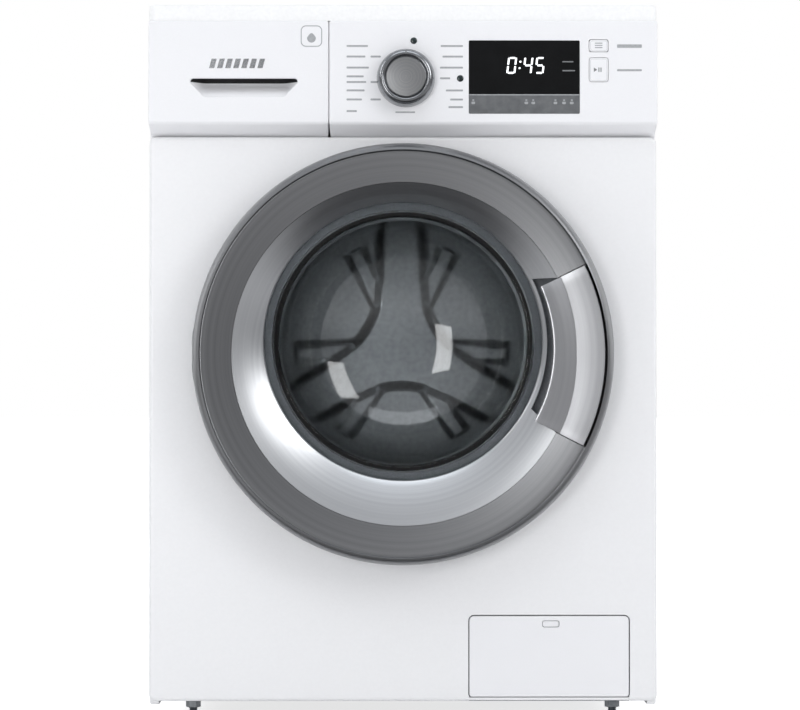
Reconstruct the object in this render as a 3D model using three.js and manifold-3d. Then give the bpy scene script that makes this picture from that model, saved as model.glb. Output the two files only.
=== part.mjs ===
// Front load washing machine, free standing, built as an assembly of separate named pieces.
// Millimetres, +Z up, the front faces -Y and +X is to the right seen from the front.
// The origin is on the floor under the centre of the overall box.
import * as THREE from 'three';
import { mergeVertices } from 'three/addons/utils/BufferGeometryUtils.js';
import Module from 'manifold-3d';

const wasm = await Module();
wasm.setup();

// ---- Overall sizes ----
const overallWidth = 595;
const overallHeight = 850;
const overallDepth = 600;
const doorStandOff = 45;
const rearStandOff = 15;
const footHeight = 30;
const worktopThickness = 19;
const worktopSetBack = 4;
const worktopCorner = 10;

// ---- Sheets, walls and gaps ----
const sheet = 1.2;
const touch = 0.3;
const seam = 0.6;
const sideFlange = 12;
const frontReturn = 12;

// ---- Control panel and drawer front ----
const controlPanelHeight = 134.5;
const controlPanelProud = 14;
const controlPanelStep = 14;
const fasciaWall = 3;
const drawerFrontWidth = 210.5;
const pullWidth = 126;
const pullHeight = 21;
const pullDepth = 18;
const pullLip = 6;
const pullTopDrop = 68;
const knobRadius = 34;
const knobDiscRadius = 23;
const knobHeight = 17;
const knobShaftRadius = 6;
const knobOffsetX = 90.2;
const knobDrop = 67.8;
const displayWidth = 129.8;
const displayHeight = 85.9;
const displayOffsetX = 163.7;
const displayTopDrop = 23.3;
const displayThickness = 1.5;
const buttonOffsetX = 315.5;
const buttonWidth = 22;
const startButtonHeight = 28;
const optionsButtonHeight = 14;
const startButtonDrop = 57.7;
const optionsButtonDrop = 29.6;
const buttonDepth = 6;
const buttonTravel = 1.2;
const buttonGap = 0.5;

// ---- Detergent drawer ----
const trayWidth = 178;
const trayHeight = 64;
const trayLength = 283;
const trayWall = 2;
const trayFloorDrop = 119;
const housingClearance = 3;
const housingWall = 2;
const neckRadius = 14;
const neckWall = 3;
const neckLength = 36;
const neckInset = 60.5;

// ---- Door ----
const doorRadius = 245;
const doorTopGap = 10.5;
const doorBackGap = 4;
const doorRimWidth = 10;
const bandWidth = 46;
const bandDrop = 6.5;
const glassRise = 15;
const glassFlangeInset = 77;
const glassMouthInset = 95;
const glassFloorInset = 150;
const glassDepth = 121;
const glassThickness = 5;
const funnelInset = 83;
const funnelWall = 2.5;
const backFrameThickness = 3;
const hingeInset = 11;
const hingeForward = 22;
const hingePinRadius = 2.5;
const hingePinHalf = 36;
const hingeLugOffset = 20;
const hingeLugThickness = 5;
const hingeEyeRadius = 6;
const pinClearance = 0.3;
const handleTopAngle = 26;
const handleBottomAngle = 27;
const handleWidth = 72;
const handleInnerRise = 7;
const handleGap = 1.2;
const handleThickness = 8.5;
const handleEdgeStep = 4;
const handlePivotInset = 41;
const handlePivotRadius = 1.8;
const postOffset = 4.7;
const fingerPocketInset = 79;

// ---- Door catch ----
const hookPivotInset = 48;
const hookHalfWidth = 8.5;
const hookArm = 6;
const hookBarb = 6;
const hookBarbDepth = 7;
const hookReach = 32;
const hookBarrelRadius = 4;
const catchGap = 1;
const lockWall = 3;

// ---- Drum, tub and drive ----
const drumRadius = 237;
const drumWall = 1.5;
const drumMouthInset = 85;
const drumFrontSetBack = 75;
const drumLength = 286;
const drumShoulder = 13;
const tubClearance = 14;
const tubWall = 4;
const tubFlange = 7;
const tubFrontGap = 15;
const tubRearGap = 64;
const tubNeckInset = 82;
const tubNeckLength = 16;
const tubSplitBehindDrumFront = 160;
const shaftRadius = 12.5;
const bearingRadius = 30.7;
const bearingWidth = 16;
const bearingSpacing = 31;
const hubWall = 14;
const hubFront = 25;
const spiderArmWidth = 34;
const spiderArmThickness = 12;
const spiderHubRadius = 30;
const pulleyRadius = 140;
const pulleyWidth = 16;
const pulleyGap = 8;
const beltThickness = 3;
const beltGap = 1;
const motorPulleyRadius = 20;
const motorRadius = 52;
const motorLength = 110;
const motorClearance = 8;
const motorShaftRadius = 6;
const motorShaftClearance = 0.6;
const lifterCount = 3;
const lifterHeight = 48;
const lifterWidth = 64;
const lifterMargin = 26;
const embossHeight = 9;
const embossWidth = 44;

// ---- Suspension ----
const springRadius = 11;
const springWire = 1.5;
const springTurns = 8;
const springInset = 27.5;
const springY = 90;
const hangerDrop = 14;
const hangerThickness = 2;
const lugHeight = 179;
const lugThickness = 6;
const damperX = 150;
const damperRadius = 14;
const damperRodRadius = 5;
const damperBoreClearance = 1;
const damperHeight = 96;
const damperEngagement = 60;

// ---- Door seal ----
const panelHoleInset = 73;
const sealMouthInset = 89;
const sealLip = 5;
const sealWall = 3;

// ---- Sump, heater and pump ----
const sumpHalfWidth = 60;
const sumpDepth = 27;
const sumpLength = 139;
const sumpNeckRadius = 18;
const sumpNeckLength = 14;
const heaterRadius = 4;
const heaterHalfWidth = 25;
const flapWidth = 181.5;
const flapHeight = 96.1;
const flapRightMargin = 35.8;
const flapBottomRise = 8.8;
const flapCorner = 5.5;
const flapGap = 1.2;
const flapThickness = 2.5;
const flapPivotRise = 5.6;
const flapPivotDepth = 3.4;
const flapPivotRadius = 1.2;
const flapTabWidth = 20;
const flapTabHeight = 8.3;
const flapTabDrop = 3.6;
const surroundWall = 2;
const surroundDepth = 34;
const filterRadius = 30;
const filterWall = 4;
const filterLength = 80;
const filterCapRadius = 28;
const filterCapDepth = 22;
const pumpRadius = 33;
const pumpLength = 50;
const hoseRadius = 12;

// ---- Base, feet and rear ----
const panHeight = 21;
const panWall = 1.5;
const panFrontSetBack = 40;
const footPadRadius = 20;
const footPadHeight = 10;
const footStemRadius = 5;
const footStemRise = 16;
const footNutRadius = 9;
const footInsetX = 47.5;
const footInsetFront = 60;
const footInsetRear = 30;
const coverHalfWidth = 150;
const coverBelowAxis = 346;
const coverAboveAxis = 154;
const coverLap = 15;
const coverCorner = 40;
const coverRise = 9;
const inletRadius = 11;
const connectionClearance = 2;
const connectionX = 240;
const inletDrop = 41;
const drainDrop = 131;
const glandX = -230;
const glandDrop = 51;

// ---- Facets of the round pieces ----
const fine = 32;
const medium = 20;
const coarse = 10;

// ---- Places worked out from the sizes ----
const halfWidth = overallWidth / 2;
const frontY = -overallDepth / 2 + doorStandOff;
const rearY = overallDepth / 2 - rearStandOff;
const worktopZ = overallHeight - worktopThickness;
const panelTopZ = worktopZ - controlPanelHeight;
const fasciaY = frontY - controlPanelProud;
const fasciaBackY = frontY + frontReturn - touch;
const fasciaLeftX = -halfWidth + drawerFrontWidth;
const panelBackY = frontY + sheet;
const sideFrontY = frontY + frontReturn + touch;
const sideRearY = rearY - sheet - touch;
const doorZ = panelTopZ - doorTopGap - doorRadius;
const axisZ = doorZ + glassRise;
const bandInnerRadius = doorRadius - bandWidth;
const glassFlangeRadius = doorRadius - glassFlangeInset;
const glassMouthRadius = doorRadius - glassMouthInset;
const glassFloorRadius = doorRadius - glassFloorInset;
const funnelInnerRadius = doorRadius - funnelInset;
const handleInnerRadius = doorRadius - handleWidth;
const handlePivotX = doorRadius - handlePivotInset;
const fingerPocketRadius = doorRadius - fingerPocketInset;
const hookPivotX = doorRadius - hookPivotInset;
const panelHoleRadius = doorRadius - panelHoleInset;
const sealMouthRadius = doorRadius - sealMouthInset;
const tubNeckRadius = doorRadius - tubNeckInset;
const drumMouthRadius = doorRadius - drumMouthInset;
const doorFrontY = frontY - doorStandOff;
const doorBackY = frontY - doorBackGap;
const bandInnerY = doorFrontY + bandDrop + 1.5;
const hingeX = -doorRadius + hingeInset;
const hingeY = frontY - hingeForward;
const glassFrontY = doorBackY - 10;
const glassFlangeBackY = glassFrontY + glassThickness;
const backFrameY = doorBackY - backFrameThickness;
const handleBackY = doorFrontY + 1.5 + handleThickness;
const handlePivotY = handleBackY + 0.5;
const handleOuterRadius = doorRadius - doorRimWidth - handleGap;
const hookPivotY = backFrameY - 6;
const hookTipY = hookPivotY + hookReach;
const drumFrontY = frontY + drumFrontSetBack;
const drumRearY = drumFrontY + drumLength;
const tubRadius = drumRadius + tubClearance + tubWall;
const tubFrontY = drumFrontY - tubFrontGap - tubWall;
const tubRearY = drumRearY + tubRearGap + 5;
const tubSplitY = drumFrontY + tubSplitBehindDrumFront;
const hubFrontY = drumRearY + hubFront;
const hubRearY = hubFrontY + bearingSpacing + bearingWidth + 8;
const hubRadius = bearingRadius + touch + hubWall;
const pulleyFrontY = hubRearY + pulleyGap;
const pulleyRearY = pulleyFrontY + pulleyWidth;
const motorZ = axisZ - tubRadius - motorClearance - motorRadius;
const motorRearY = pulleyFrontY - 14;
const lugZ = axisZ + lugHeight;
const springX = halfWidth - springInset;
const hangerZ = worktopZ - hangerDrop;
const panBottomZ = footHeight + sheet + touch;
const panTopZ = panBottomZ + panHeight;
const panFrontY = frontY + panFrontSetBack;
const flapRightX = halfWidth - flapRightMargin;
const flapLeftX = flapRightX - flapWidth;
const flapCentreX = (flapLeftX + flapRightX) / 2;
const flapBottomZ = footHeight + flapBottomRise;
const flapTopZ = flapBottomZ + flapHeight;
const flapCentreZ = (flapBottomZ + flapTopZ) / 2;
const surroundBackY = panelBackY + surroundDepth;
const filterRearY = surroundBackY + filterLength;
const pumpRearY = filterRearY + pumpLength;
const pumpMidY = (filterRearY + pumpRearY) / 2;
const sumpBottomZ = axisZ - tubRadius - sumpDepth;
const sumpFrontY = tubFrontY;
const sumpMidY = sumpFrontY + sumpLength / 2;
const trayCentreX = -halfWidth + drawerFrontWidth / 2 - 2.25;
const trayBottomZ = worktopZ - trayFloorDrop;
const trayRearY = fasciaBackY + touch + trayLength;
const neckX = neckInset - tubRadius;
const neckY = trayRearY - 25;
const neckBottomZ = trayBottomZ - 6 - neckLength;
const knobX = fasciaLeftX + knobOffsetX;
const knobZ = worktopZ - knobDrop;
const displayLeftX = fasciaLeftX + displayOffsetX;
const displayTopZ = worktopZ - displayTopDrop;
const buttonX = fasciaLeftX + buttonOffsetX;
const startZ = worktopZ - startButtonDrop;
const optionsZ = worktopZ - optionsButtonDrop;

// ---- Finishes ----
function finish(color, roughness, metalness) {
  return new THREE.MeshStandardMaterial({ color, roughness, metalness });
}

const whiteEnamel = finish(0xf1f2f3, 0.35, 0.0);
const whitePlastic = finish(0xeff0f2, 0.4, 0.0);
const gunmetal = finish(0x77787a, 0.35, 0.8);
const silverPlating = finish(0xc6c8cb, 0.25, 0.9);
const handleGrey = finish(0xa4a5a8, 0.35, 0.8);
const spunSilver = finish(0x9fa1a4, 0.3, 0.9);
const clearGlass = finish(0x3a3d40, 0.05, 0.0);
const blackGloss = finish(0x0c0d0f, 0.1, 0.0);
const stainless = finish(0xb9bbbe, 0.28, 1.0);
const zincSteel = finish(0xa8acb0, 0.45, 0.9);
const springSteel = finish(0x6e7276, 0.4, 1.0);
const castAluminium = finish(0x9b9ea1, 0.55, 0.9);
const greyRubber = finish(0x6c6f73, 0.8, 0.0);
const blackRubber = finish(0x1d1e20, 0.75, 0.0);
const tubPolymer = finish(0xc7c8c4, 0.6, 0.0);
const greyPlastic = finish(0x8e9195, 0.55, 0.0);
const blackPlastic = finish(0x232427, 0.5, 0.0);
const concrete = finish(0x9c9a94, 0.9, 0.0);

// ---- Solids ----
function box(x0, x1, y0, y1, z0, z1) {
  const geometry = new THREE.BoxGeometry(Math.abs(x1 - x0), y1 - y0, z1 - z0);
  geometry.translate((x0 + x1) / 2, (y0 + y1) / 2, (z0 + z1) / 2);
  return geometry;
}

function closedProfile(profile) {
  const closed = profile[0][0] === 0 ? profile : [...profile, profile[0]];
  return closed.map(([radius, along]) => new THREE.Vector2(radius, along));
}

// A piece turned about an axis that runs front to back; the profile is [radius, y].
function turnedY(profile, x, z, facets) {
  const geometry = new THREE.LatheGeometry(closedProfile(profile), facets);
  geometry.translate(x, 0, z);
  return geometry;
}

// A piece turned about an upright axis; the profile is [radius, z].
function turnedZ(profile, x, y, facets) {
  const geometry = new THREE.LatheGeometry(closedProfile(profile), facets);
  geometry.rotateX(Math.PI / 2);
  geometry.translate(x, y, 0);
  return geometry;
}

function rodX(radius, x0, x1, y, z, facets) {
  const geometry = new THREE.CylinderGeometry(radius, radius, x1 - x0, facets);
  geometry.rotateZ(Math.PI / 2);
  geometry.translate((x0 + x1) / 2, y, z);
  return geometry;
}

function rodY(radius, y0, y1, x, z, facets) {
  const geometry = new THREE.CylinderGeometry(radius, radius, y1 - y0, facets);
  geometry.translate(x, (y0 + y1) / 2, z);
  return geometry;
}

function rodZ(radius, z0, z1, x, y, facets) {
  const geometry = new THREE.CylinderGeometry(radius, radius, z1 - z0, facets);
  geometry.rotateX(Math.PI / 2);
  geometry.translate(x, y, (z0 + z1) / 2);
  return geometry;
}

// An outline drawn in X and Z, pushed from y0 to y1.
function extrudeY(shape, y0, y1, curveSegments) {
  const depth = y1 - y0;
  const geometry = new THREE.ExtrudeGeometry(shape, { depth, bevelEnabled: false, curveSegments });
  geometry.rotateX(Math.PI / 2);
  geometry.translate(0, y1, 0);
  return geometry;
}

// An outline drawn in Y and Z, pushed from x0 to x1.
function extrudeX(points, x0, x1) {
  const shape = new THREE.Shape(points.map(([y, z]) => new THREE.Vector2(y, z)));
  const geometry = new THREE.ExtrudeGeometry(shape, { depth: x1 - x0, bevelEnabled: false });
  const turn = new THREE.Matrix4().set(0, 0, 1, x0, 1, 0, 0, 0, 0, 1, 0, 0, 0, 0, 0, 1);
  geometry.applyMatrix4(turn);
  return geometry;
}

// An outline drawn in X and Y, pushed from z0 to z1.
function extrudeZ(shape, z0, z1, curveSegments) {
  const depth = z1 - z0;
  const geometry = new THREE.ExtrudeGeometry(shape, { depth, bevelEnabled: false, curveSegments });
  geometry.translate(0, 0, z0);
  return geometry;
}

function roundedRectangle(x0, x1, z0, z1, radius) {
  const shape = new THREE.Shape();
  shape.moveTo(x0 + radius, z0);
  shape.absarc(x1 - radius, z0 + radius, radius, -Math.PI / 2, 0, false);
  shape.absarc(x1 - radius, z1 - radius, radius, 0, Math.PI / 2, false);
  shape.absarc(x0 + radius, z1 - radius, radius, Math.PI / 2, Math.PI, false);
  shape.absarc(x0 + radius, z0 + radius, radius, Math.PI, 1.5 * Math.PI, false);
  return shape;
}

// A tube along a smooth route through the given points.
function tube(route, radius, sides, steps) {
  const section = new THREE.Shape();
  section.absarc(0, 0, radius, 0, 2 * Math.PI, false);
  const extrudePath = new THREE.CatmullRomCurve3(route.map((point) => new THREE.Vector3(...point)));
  return new THREE.ExtrudeGeometry(section, { steps, curveSegments: sides, extrudePath });
}

function signedVolume(position, index) {
  const corner = [new THREE.Vector3(), new THREE.Vector3(), new THREE.Vector3()];
  let volume = 0;
  for (let face = 0; face < index.length; face += 3) {
    corner.forEach((vertex, step) => vertex.fromBufferAttribute(position, index[face + step]));
    volume += corner[0].dot(corner[1].cross(corner[2])) / 6;
  }
  return volume;
}

// The geometry as a manifold solid, with its faces pointing out.
function solid(geometry) {
  const bare = geometry.clone();
  bare.deleteAttribute('normal');
  bare.deleteAttribute('uv');
  const merged = mergeVertices(bare, 1e-4);
  const index = [];
  for (let face = 0; face < merged.index.count; face += 3) {
    const [a, b, c] = [0, 1, 2].map((step) => merged.index.getX(face + step));
    if (a !== b && b !== c && c !== a) {
      index.push(a, b, c);
    }
  }
  if (signedVolume(merged.attributes.position, index) < 0) {
    index.reverse();
  }
  const vertProperties = new Float32Array(merged.attributes.position.array);
  const triVerts = new Uint32Array(index);
  return new wasm.Manifold(new wasm.Mesh({ numProp: 3, vertProperties, triVerts }));
}

function join(first, ...others) {
  return others.reduce((whole, piece) => whole.add(solid(piece)), solid(first));
}

function cut(whole, ...pieces) {
  return pieces.reduce((rest, piece) => rest.subtract(solid(piece)), whole);
}

function geometryOf(manifold) {
  const { vertProperties, triVerts } = manifold.getMesh();
  const geometry = new THREE.BufferGeometry();
  geometry.setAttribute('position', new THREE.Float32BufferAttribute(vertProperties, 3));
  geometry.setIndex(Array.from(triVerts));
  const flat = geometry.toNonIndexed();
  flat.computeVertexNormals();
  return flat;
}

const machine = new THREE.Group();

function group(name) {
  const branch = new THREE.Group();
  branch.name = name;
  machine.add(branch);
  return branch;
}

const cabinet = group('cabinet');
const controls = group('controls');
const door = group('door');
const washGroup = group('wash_group');
const water = group('water_system');

function place(parent, name, manifold, material) {
  const piece = new THREE.Mesh(geometryOf(manifold), material);
  piece.name = name;
  parent.add(piece);
}

// ---- Cabinet ----
function sideBox(side, inner, outer, y0, y1, z0, z1) {
  return box(Math.min(side * inner, side * outer), Math.max(side * inner, side * outer), y0, y1, z0, z1);
}

function sidePanel(side) {
  const skin = halfWidth - sheet;
  const lip = halfWidth - sideFlange;
  const top = worktopZ - touch;
  const hangerEnd = springX - springRadius - springWire - 2;
  const hangerHalf = springRadius + springWire;
  const pan = cut(
    solid(sideBox(side, lip, halfWidth, sideFrontY, sideRearY, footHeight, top)),
    sideBox(side, lip - 1, skin, sideFrontY + sheet, sideRearY - sheet, footHeight + sheet, top - sheet),
  );
  const hanger = sideBox(side, hangerEnd, skin + sheet / 2, springY - hangerHalf, springY + hangerHalf,
    hangerZ, hangerZ + hangerThickness);
  return pan.add(solid(hanger));
}

function frontPanel() {
  const top = panelTopZ - touch;
  const returnY = frontY + frontReturn;
  const slotBottomZ = doorZ - hookHalfWidth - 2;
  const slotTopZ = doorZ + hookHalfWidth + 2;
  const pan = cut(
    solid(box(-halfWidth, halfWidth, frontY, returnY, footHeight, top)),
    box(-halfWidth + sheet, halfWidth - sheet, panelBackY, returnY + 1, footHeight + sheet, top - sheet),
  );
  const flapHole = roundedRectangle(flapLeftX - flapGap, flapRightX + flapGap,
    flapBottomZ - flapGap, flapTopZ + flapGap, flapCorner + flapGap);
  return cut(
    pan,
    rodY(panelHoleRadius, frontY - 1, panelBackY + 1, 0, axisZ, fine),
    extrudeY(flapHole, frontY - 1, panelBackY + 1, 4),
    box(hookPivotX - hookArm - 4, hookPivotX + hookArm / 2 + hookBarb + 2.5,
      frontY - 1, panelBackY + 1, slotBottomZ, slotTopZ),
  );
}

function coverOutline(grow) {
  return roundedRectangle(-coverHalfWidth - grow, coverHalfWidth + grow,
    axisZ - coverBelowAxis - grow, axisZ + coverAboveAxis + grow, coverCorner);
}

function rearPanel() {
  const y0 = rearY - sheet;
  const hole = inletRadius + connectionClearance;
  return cut(
    solid(box(-halfWidth, halfWidth, y0, rearY, footHeight, worktopZ - touch)),
    extrudeY(coverOutline(0), y0 - 1, rearY + 1, 3),
    rodY(hole, y0 - 1, rearY + 1, connectionX, worktopZ - inletDrop, coarse),
    rodY(hole, y0 - 1, rearY + 1, connectionX, worktopZ - drainDrop, coarse),
    rodY(9, y0 - 1, rearY + 1, glandX, worktopZ - glandDrop, coarse),
  );
}

function rearServiceCover() {
  const inner = rearY + touch;
  const cover = join(
    extrudeY(coverOutline(coverLap), inner, inner + sheet, 3),
    extrudeY(coverOutline(-coverLap), inner, inner + sheet + coverRise, 3),
  );
  return cut(cover, extrudeY(coverOutline(-coverLap - sheet), inner - 1, inner + coverRise, 3));
}

function baseFrame() {
  const rear = rearY - sheet - touch;
  const side = halfWidth - sideFlange - touch;
  const pan = cut(
    solid(box(-side, side, panFrontY, rear, panBottomZ, panTopZ)),
    box(-side + panWall, side - panWall, panFrontY + panWall, rear - panWall,
      panBottomZ + panWall, panTopZ + 1),
  );
  const stemHoles = footPlaces().map(([x, y]) =>
    rodZ(footStemRadius + touch, panBottomZ - 1, panBottomZ + panWall + 1, x, y, coarse));
  return cut(pan, ...stemHoles);
}

function footPlaces() {
  const x = halfWidth - footInsetX;
  const front = frontY + footInsetFront;
  const rear = rearY - footInsetRear;
  return [[-x, front], [x, front], [-x, rear], [x, rear]];
}

function foot([x, y]) {
  const nutTop = footHeight - touch;
  return solid(turnedZ([
    [0, 0],
    [footPadRadius - 2, 0],
    [footPadRadius, 2],
    [footPadRadius - 3, footPadHeight],
    [footStemRadius, footPadHeight + 2],
    [footStemRadius, nutTop - 7],
    [footNutRadius, nutTop - 7],
    [footNutRadius, nutTop],
    [footStemRadius, nutTop],
    [footStemRadius, footHeight + footStemRise],
    [0, footHeight + footStemRise],
  ], x, y, coarse));
}

function worktop() {
  const outline = roundedRectangle(-halfWidth, halfWidth, fasciaY + worktopSetBack, rearY, worktopCorner);
  return solid(extrudeZ(outline, worktopZ, overallHeight, 4));
}

// ---- Control panel ----
function panelSection(back, inset) {
  const bottom = panelTopZ + touch + inset;
  const top = worktopZ - touch - inset;
  return [
    [frontY - touch, bottom],
    [fasciaY + inset, panelTopZ + controlPanelStep + inset],
    [fasciaY + inset, top],
    [back, top],
    [back, bottom],
  ];
}

function buttonHole(x, z, height) {
  const halfX = buttonWidth / 2 + buttonGap;
  const halfZ = height / 2 + buttonGap;
  return box(x - halfX, x + halfX, fasciaY - 1, fasciaBackY + 1, z - halfZ, z + halfZ);
}

function displayOutline(grow) {
  return roundedRectangle(displayLeftX - grow, displayLeftX + displayWidth + grow,
    displayTopZ - displayHeight - grow, displayTopZ + grow, 2);
}

function controlFascia() {
  const shell = cut(
    solid(extrudeX(panelSection(fasciaBackY, 0), fasciaLeftX + seam, halfWidth)),
    extrudeX(panelSection(fasciaBackY + 1, fasciaWall), fasciaLeftX + seam + fasciaWall,
      halfWidth - fasciaWall),
  );
  return cut(
    shell,
    rodY(knobShaftRadius + touch, fasciaY - 1, fasciaBackY, knobX, knobZ, coarse),
    extrudeY(displayOutline(touch), fasciaY - 1, fasciaY + displayThickness + touch, 3),
    buttonHole(buttonX, startZ, startButtonHeight),
    buttonHole(buttonX, optionsZ, optionsButtonHeight),
  );
}

function displayWindow() {
  return solid(extrudeY(displayOutline(0), fasciaY, fasciaY + displayThickness, 3));
}

function programmeKnob() {
  const base = fasciaY - 1;
  const front = base - knobHeight;
  return solid(turnedY([
    [0, front + 1],
    [knobDiscRadius, front + 1],
    [knobDiscRadius + 2, front],
    [knobRadius - 6, front + 1],
    [knobRadius - 2, front + 5],
    [knobRadius, base],
    [knobShaftRadius, base],
    [knobShaftRadius, base + 14],
    [0, base + 14],
  ], knobX, knobZ, fine));
}

function button(x, z, height) {
  const outline = roundedRectangle(x - buttonWidth / 2, x + buttonWidth / 2,
    z - height / 2, z + height / 2, 2.5);
  return solid(extrudeY(outline, fasciaY - buttonTravel / 2, fasciaY + buttonDepth, 3));
}

function controlBoardCase() {
  const back = fasciaBackY + 26;
  return cut(
    solid(box(knobX + 30, buttonX + 22, fasciaBackY + 6, back, panelTopZ + 22, worktopZ - 28)),
    box(knobX + 32, buttonX + 20, fasciaBackY + 8, back + 1, panelTopZ + 24, worktopZ - 30),
  );
}

// ---- Detergent drawer ----
function drawerFront() {
  const back = fasciaBackY - 0.2;
  const x0 = -halfWidth;
  const x1 = fasciaLeftX;
  const pullCentreX = (x0 + x1) / 2 + 6.4;
  const pullTop = worktopZ - pullTopDrop;
  const pullBottom = pullTop - pullHeight;
  const deepY = fasciaY + pullDepth;
  const pocket = [
    [fasciaY - 1, pullBottom],
    [fasciaY, pullBottom],
    [deepY, pullTop - pullLip],
    [deepY, pullTop + pullLip],
    [fasciaY + pullLip, pullTop + pullLip],
    [fasciaY + pullLip / 2, pullTop],
    [fasciaY - 1, pullTop],
  ];
  const pocketLeft = pullCentreX - pullWidth / 2;
  const pocketRight = pullCentreX + pullWidth / 2;
  return cut(
    solid(extrudeX(panelSection(back, 0), x0, x1)),
    extrudeX(pocket, pocketLeft, pocketRight),
    box(x0 + fasciaWall, pocketLeft - fasciaWall, frontY, back + 1,
      panelTopZ + 6, worktopZ - 6),
    box(pocketRight + fasciaWall, x1 - fasciaWall, frontY, back + 1,
      panelTopZ + 6, worktopZ - 6),
  );
}

function drawerTray() {
  const x0 = trayCentreX - trayWidth / 2;
  const x1 = trayCentreX + trayWidth / 2;
  const y0 = fasciaBackY - 0.2 + touch;
  const z1 = trayBottomZ + trayHeight;
  const firstWall = x0 + trayWidth * 0.42;
  const secondWall = x0 + trayWidth * 0.7;
  const spaces = [[x0, firstWall], [firstWall, secondWall], [secondWall, x1]];
  const hollows = spaces.map(([left, right]) =>
    box(left + trayWall, right - trayWall / 2, y0 + trayWall, trayRearY - trayWall,
      trayBottomZ + trayWall, z1 + 1));
  return cut(solid(box(x0, x1, y0, trayRearY, trayBottomZ, z1)), ...hollows);
}

function dispenserHousing() {
  const grow = housingClearance + housingWall;
  const x0 = trayCentreX - trayWidth / 2 - grow;
  const x1 = trayCentreX + trayWidth / 2 + grow;
  const y0 = fasciaBackY + 2;
  const y1 = trayRearY + 12;
  const z0 = trayBottomZ - 6;
  const z1 = trayBottomZ + trayHeight + 24;
  const shell = join(
    box(x0, x1, y0, y1, z0, z1),
    rodZ(neckRadius, neckBottomZ, z0 + 1, neckX, neckY, coarse),
  );
  return cut(
    shell,
    box(x0 + housingWall, x1 - housingWall, y0 - 1, y1 - housingWall, z0 + housingWall, z1 - housingWall),
    rodZ(neckRadius - neckWall, neckBottomZ - 1, z0 + housingWall + 1, neckX, neckY, coarse),
  );
}

// ---- Door ----
function radians(degrees) {
  return degrees * Math.PI / 180;
}

// The sector of the door taken by the handle; its inner edge is an arc raised above the door centre.
function handleSector(outerRadius, innerRadius, grow) {
  const top = radians(handleTopAngle) + grow / outerRadius;
  const bottom = -radians(handleBottomAngle) - grow / outerRadius;
  const shape = new THREE.Shape();
  shape.absarc(0, doorZ, outerRadius, bottom, top, false);
  shape.absarc(0, doorZ + handleInnerRise, innerRadius, top, bottom, true);
  return shape;
}

function hingeNotches() {
  return [-1, 1].map((side) => {
    const z = doorZ + side * hingeLugOffset;
    const half = hingeLugThickness / 2 + 1;
    return box(-doorRadius - 1, hingeX + 24, hingeY - hingeEyeRadius - 3, frontY, z - half, z + half);
  });
}

function doorOuterRing() {
  const rim = doorRadius - doorRimWidth;
  const ring = solid(turnedY([
    [doorRadius - 8, doorBackY],
    [doorRadius - 1.5, doorBackY - 5],
    [doorRadius, doorBackY - 13],
    [doorRadius - 1, doorBackY - 25],
    [doorRadius - 4.5, doorFrontY + 5],
    [rim + 1, doorFrontY],
    [rim, doorFrontY + 1.5],
    [bandInnerRadius, bandInnerY],
    [bandInnerRadius, bandInnerY + funnelWall],
    [rim - 0.5, doorFrontY + 1.5 + funnelWall],
    [doorRadius - 7.5, doorFrontY + 8],
    [doorRadius - 4, doorBackY - 24],
    [doorRadius - 3, doorBackY - 13],
    [doorRadius - 4.5, doorBackY - 7],
  ], 0, doorZ, fine));
  const sector = handleSector(rim, fingerPocketRadius, handleGap);
  return cut(ring, extrudeY(sector, doorFrontY - 1, doorFrontY + 20, 10), ...hingeNotches());
}

// The funnel runs from the round band to the glass, whose centre is higher than the door's.
function doorInnerRing() {
  const outer = bandInnerRadius - 0.4;
  const innerY = glassFrontY - 0.6;
  const profile = [
    [outer, bandInnerY],
    [funnelInnerRadius + 1.5, innerY - 3],
    [funnelInnerRadius, innerY - 1],
    [funnelInnerRadius + 2.5, innerY],
    [outer - 2.6, bandInnerY + funnelWall + 1],
    [outer, bandInnerY + funnelWall],
  ];
  const ring = turnedY(profile, 0, doorZ, fine);
  const position = ring.attributes.position;
  const leanFromY = bandInnerY + funnelWall + 1;
  for (let vertex = 0; vertex < position.count; vertex += 1) {
    const share = (position.getY(vertex) - leanFromY) / (innerY - 3 - leanFromY);
    position.setZ(vertex, position.getZ(vertex) + glassRise * Math.min(Math.max(share, 0), 1));
  }
  const sector = handleSector(doorRadius, fingerPocketRadius, handleGap);
  return cut(solid(ring), extrudeY(sector, doorFrontY - 1, glassFrontY + 1, 10));
}

function doorGlass() {
  const floorY = glassFrontY + glassDepth;
  return solid(turnedY([
    [0, floorY],
    [glassFloorRadius, floorY - 2],
    [glassFloorRadius + 21, floorY - 8],
    [glassFloorRadius + 33, floorY - 22],
    [glassMouthRadius - 0.5, glassFlangeBackY + 6],
    [glassMouthRadius + 0.5, glassFlangeBackY],
    [glassFlangeRadius, glassFlangeBackY],
    [glassFlangeRadius, glassFrontY],
    [glassMouthRadius, glassFrontY],
    [glassMouthRadius - 5, glassFlangeBackY + 2],
    [glassFloorRadius + 28, floorY - 25],
    [glassFloorRadius + 17, floorY - 13],
    [glassFloorRadius - 1, floorY - 7],
    [0, floorY - glassThickness],
  ], 0, axisZ, fine));
}

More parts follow.
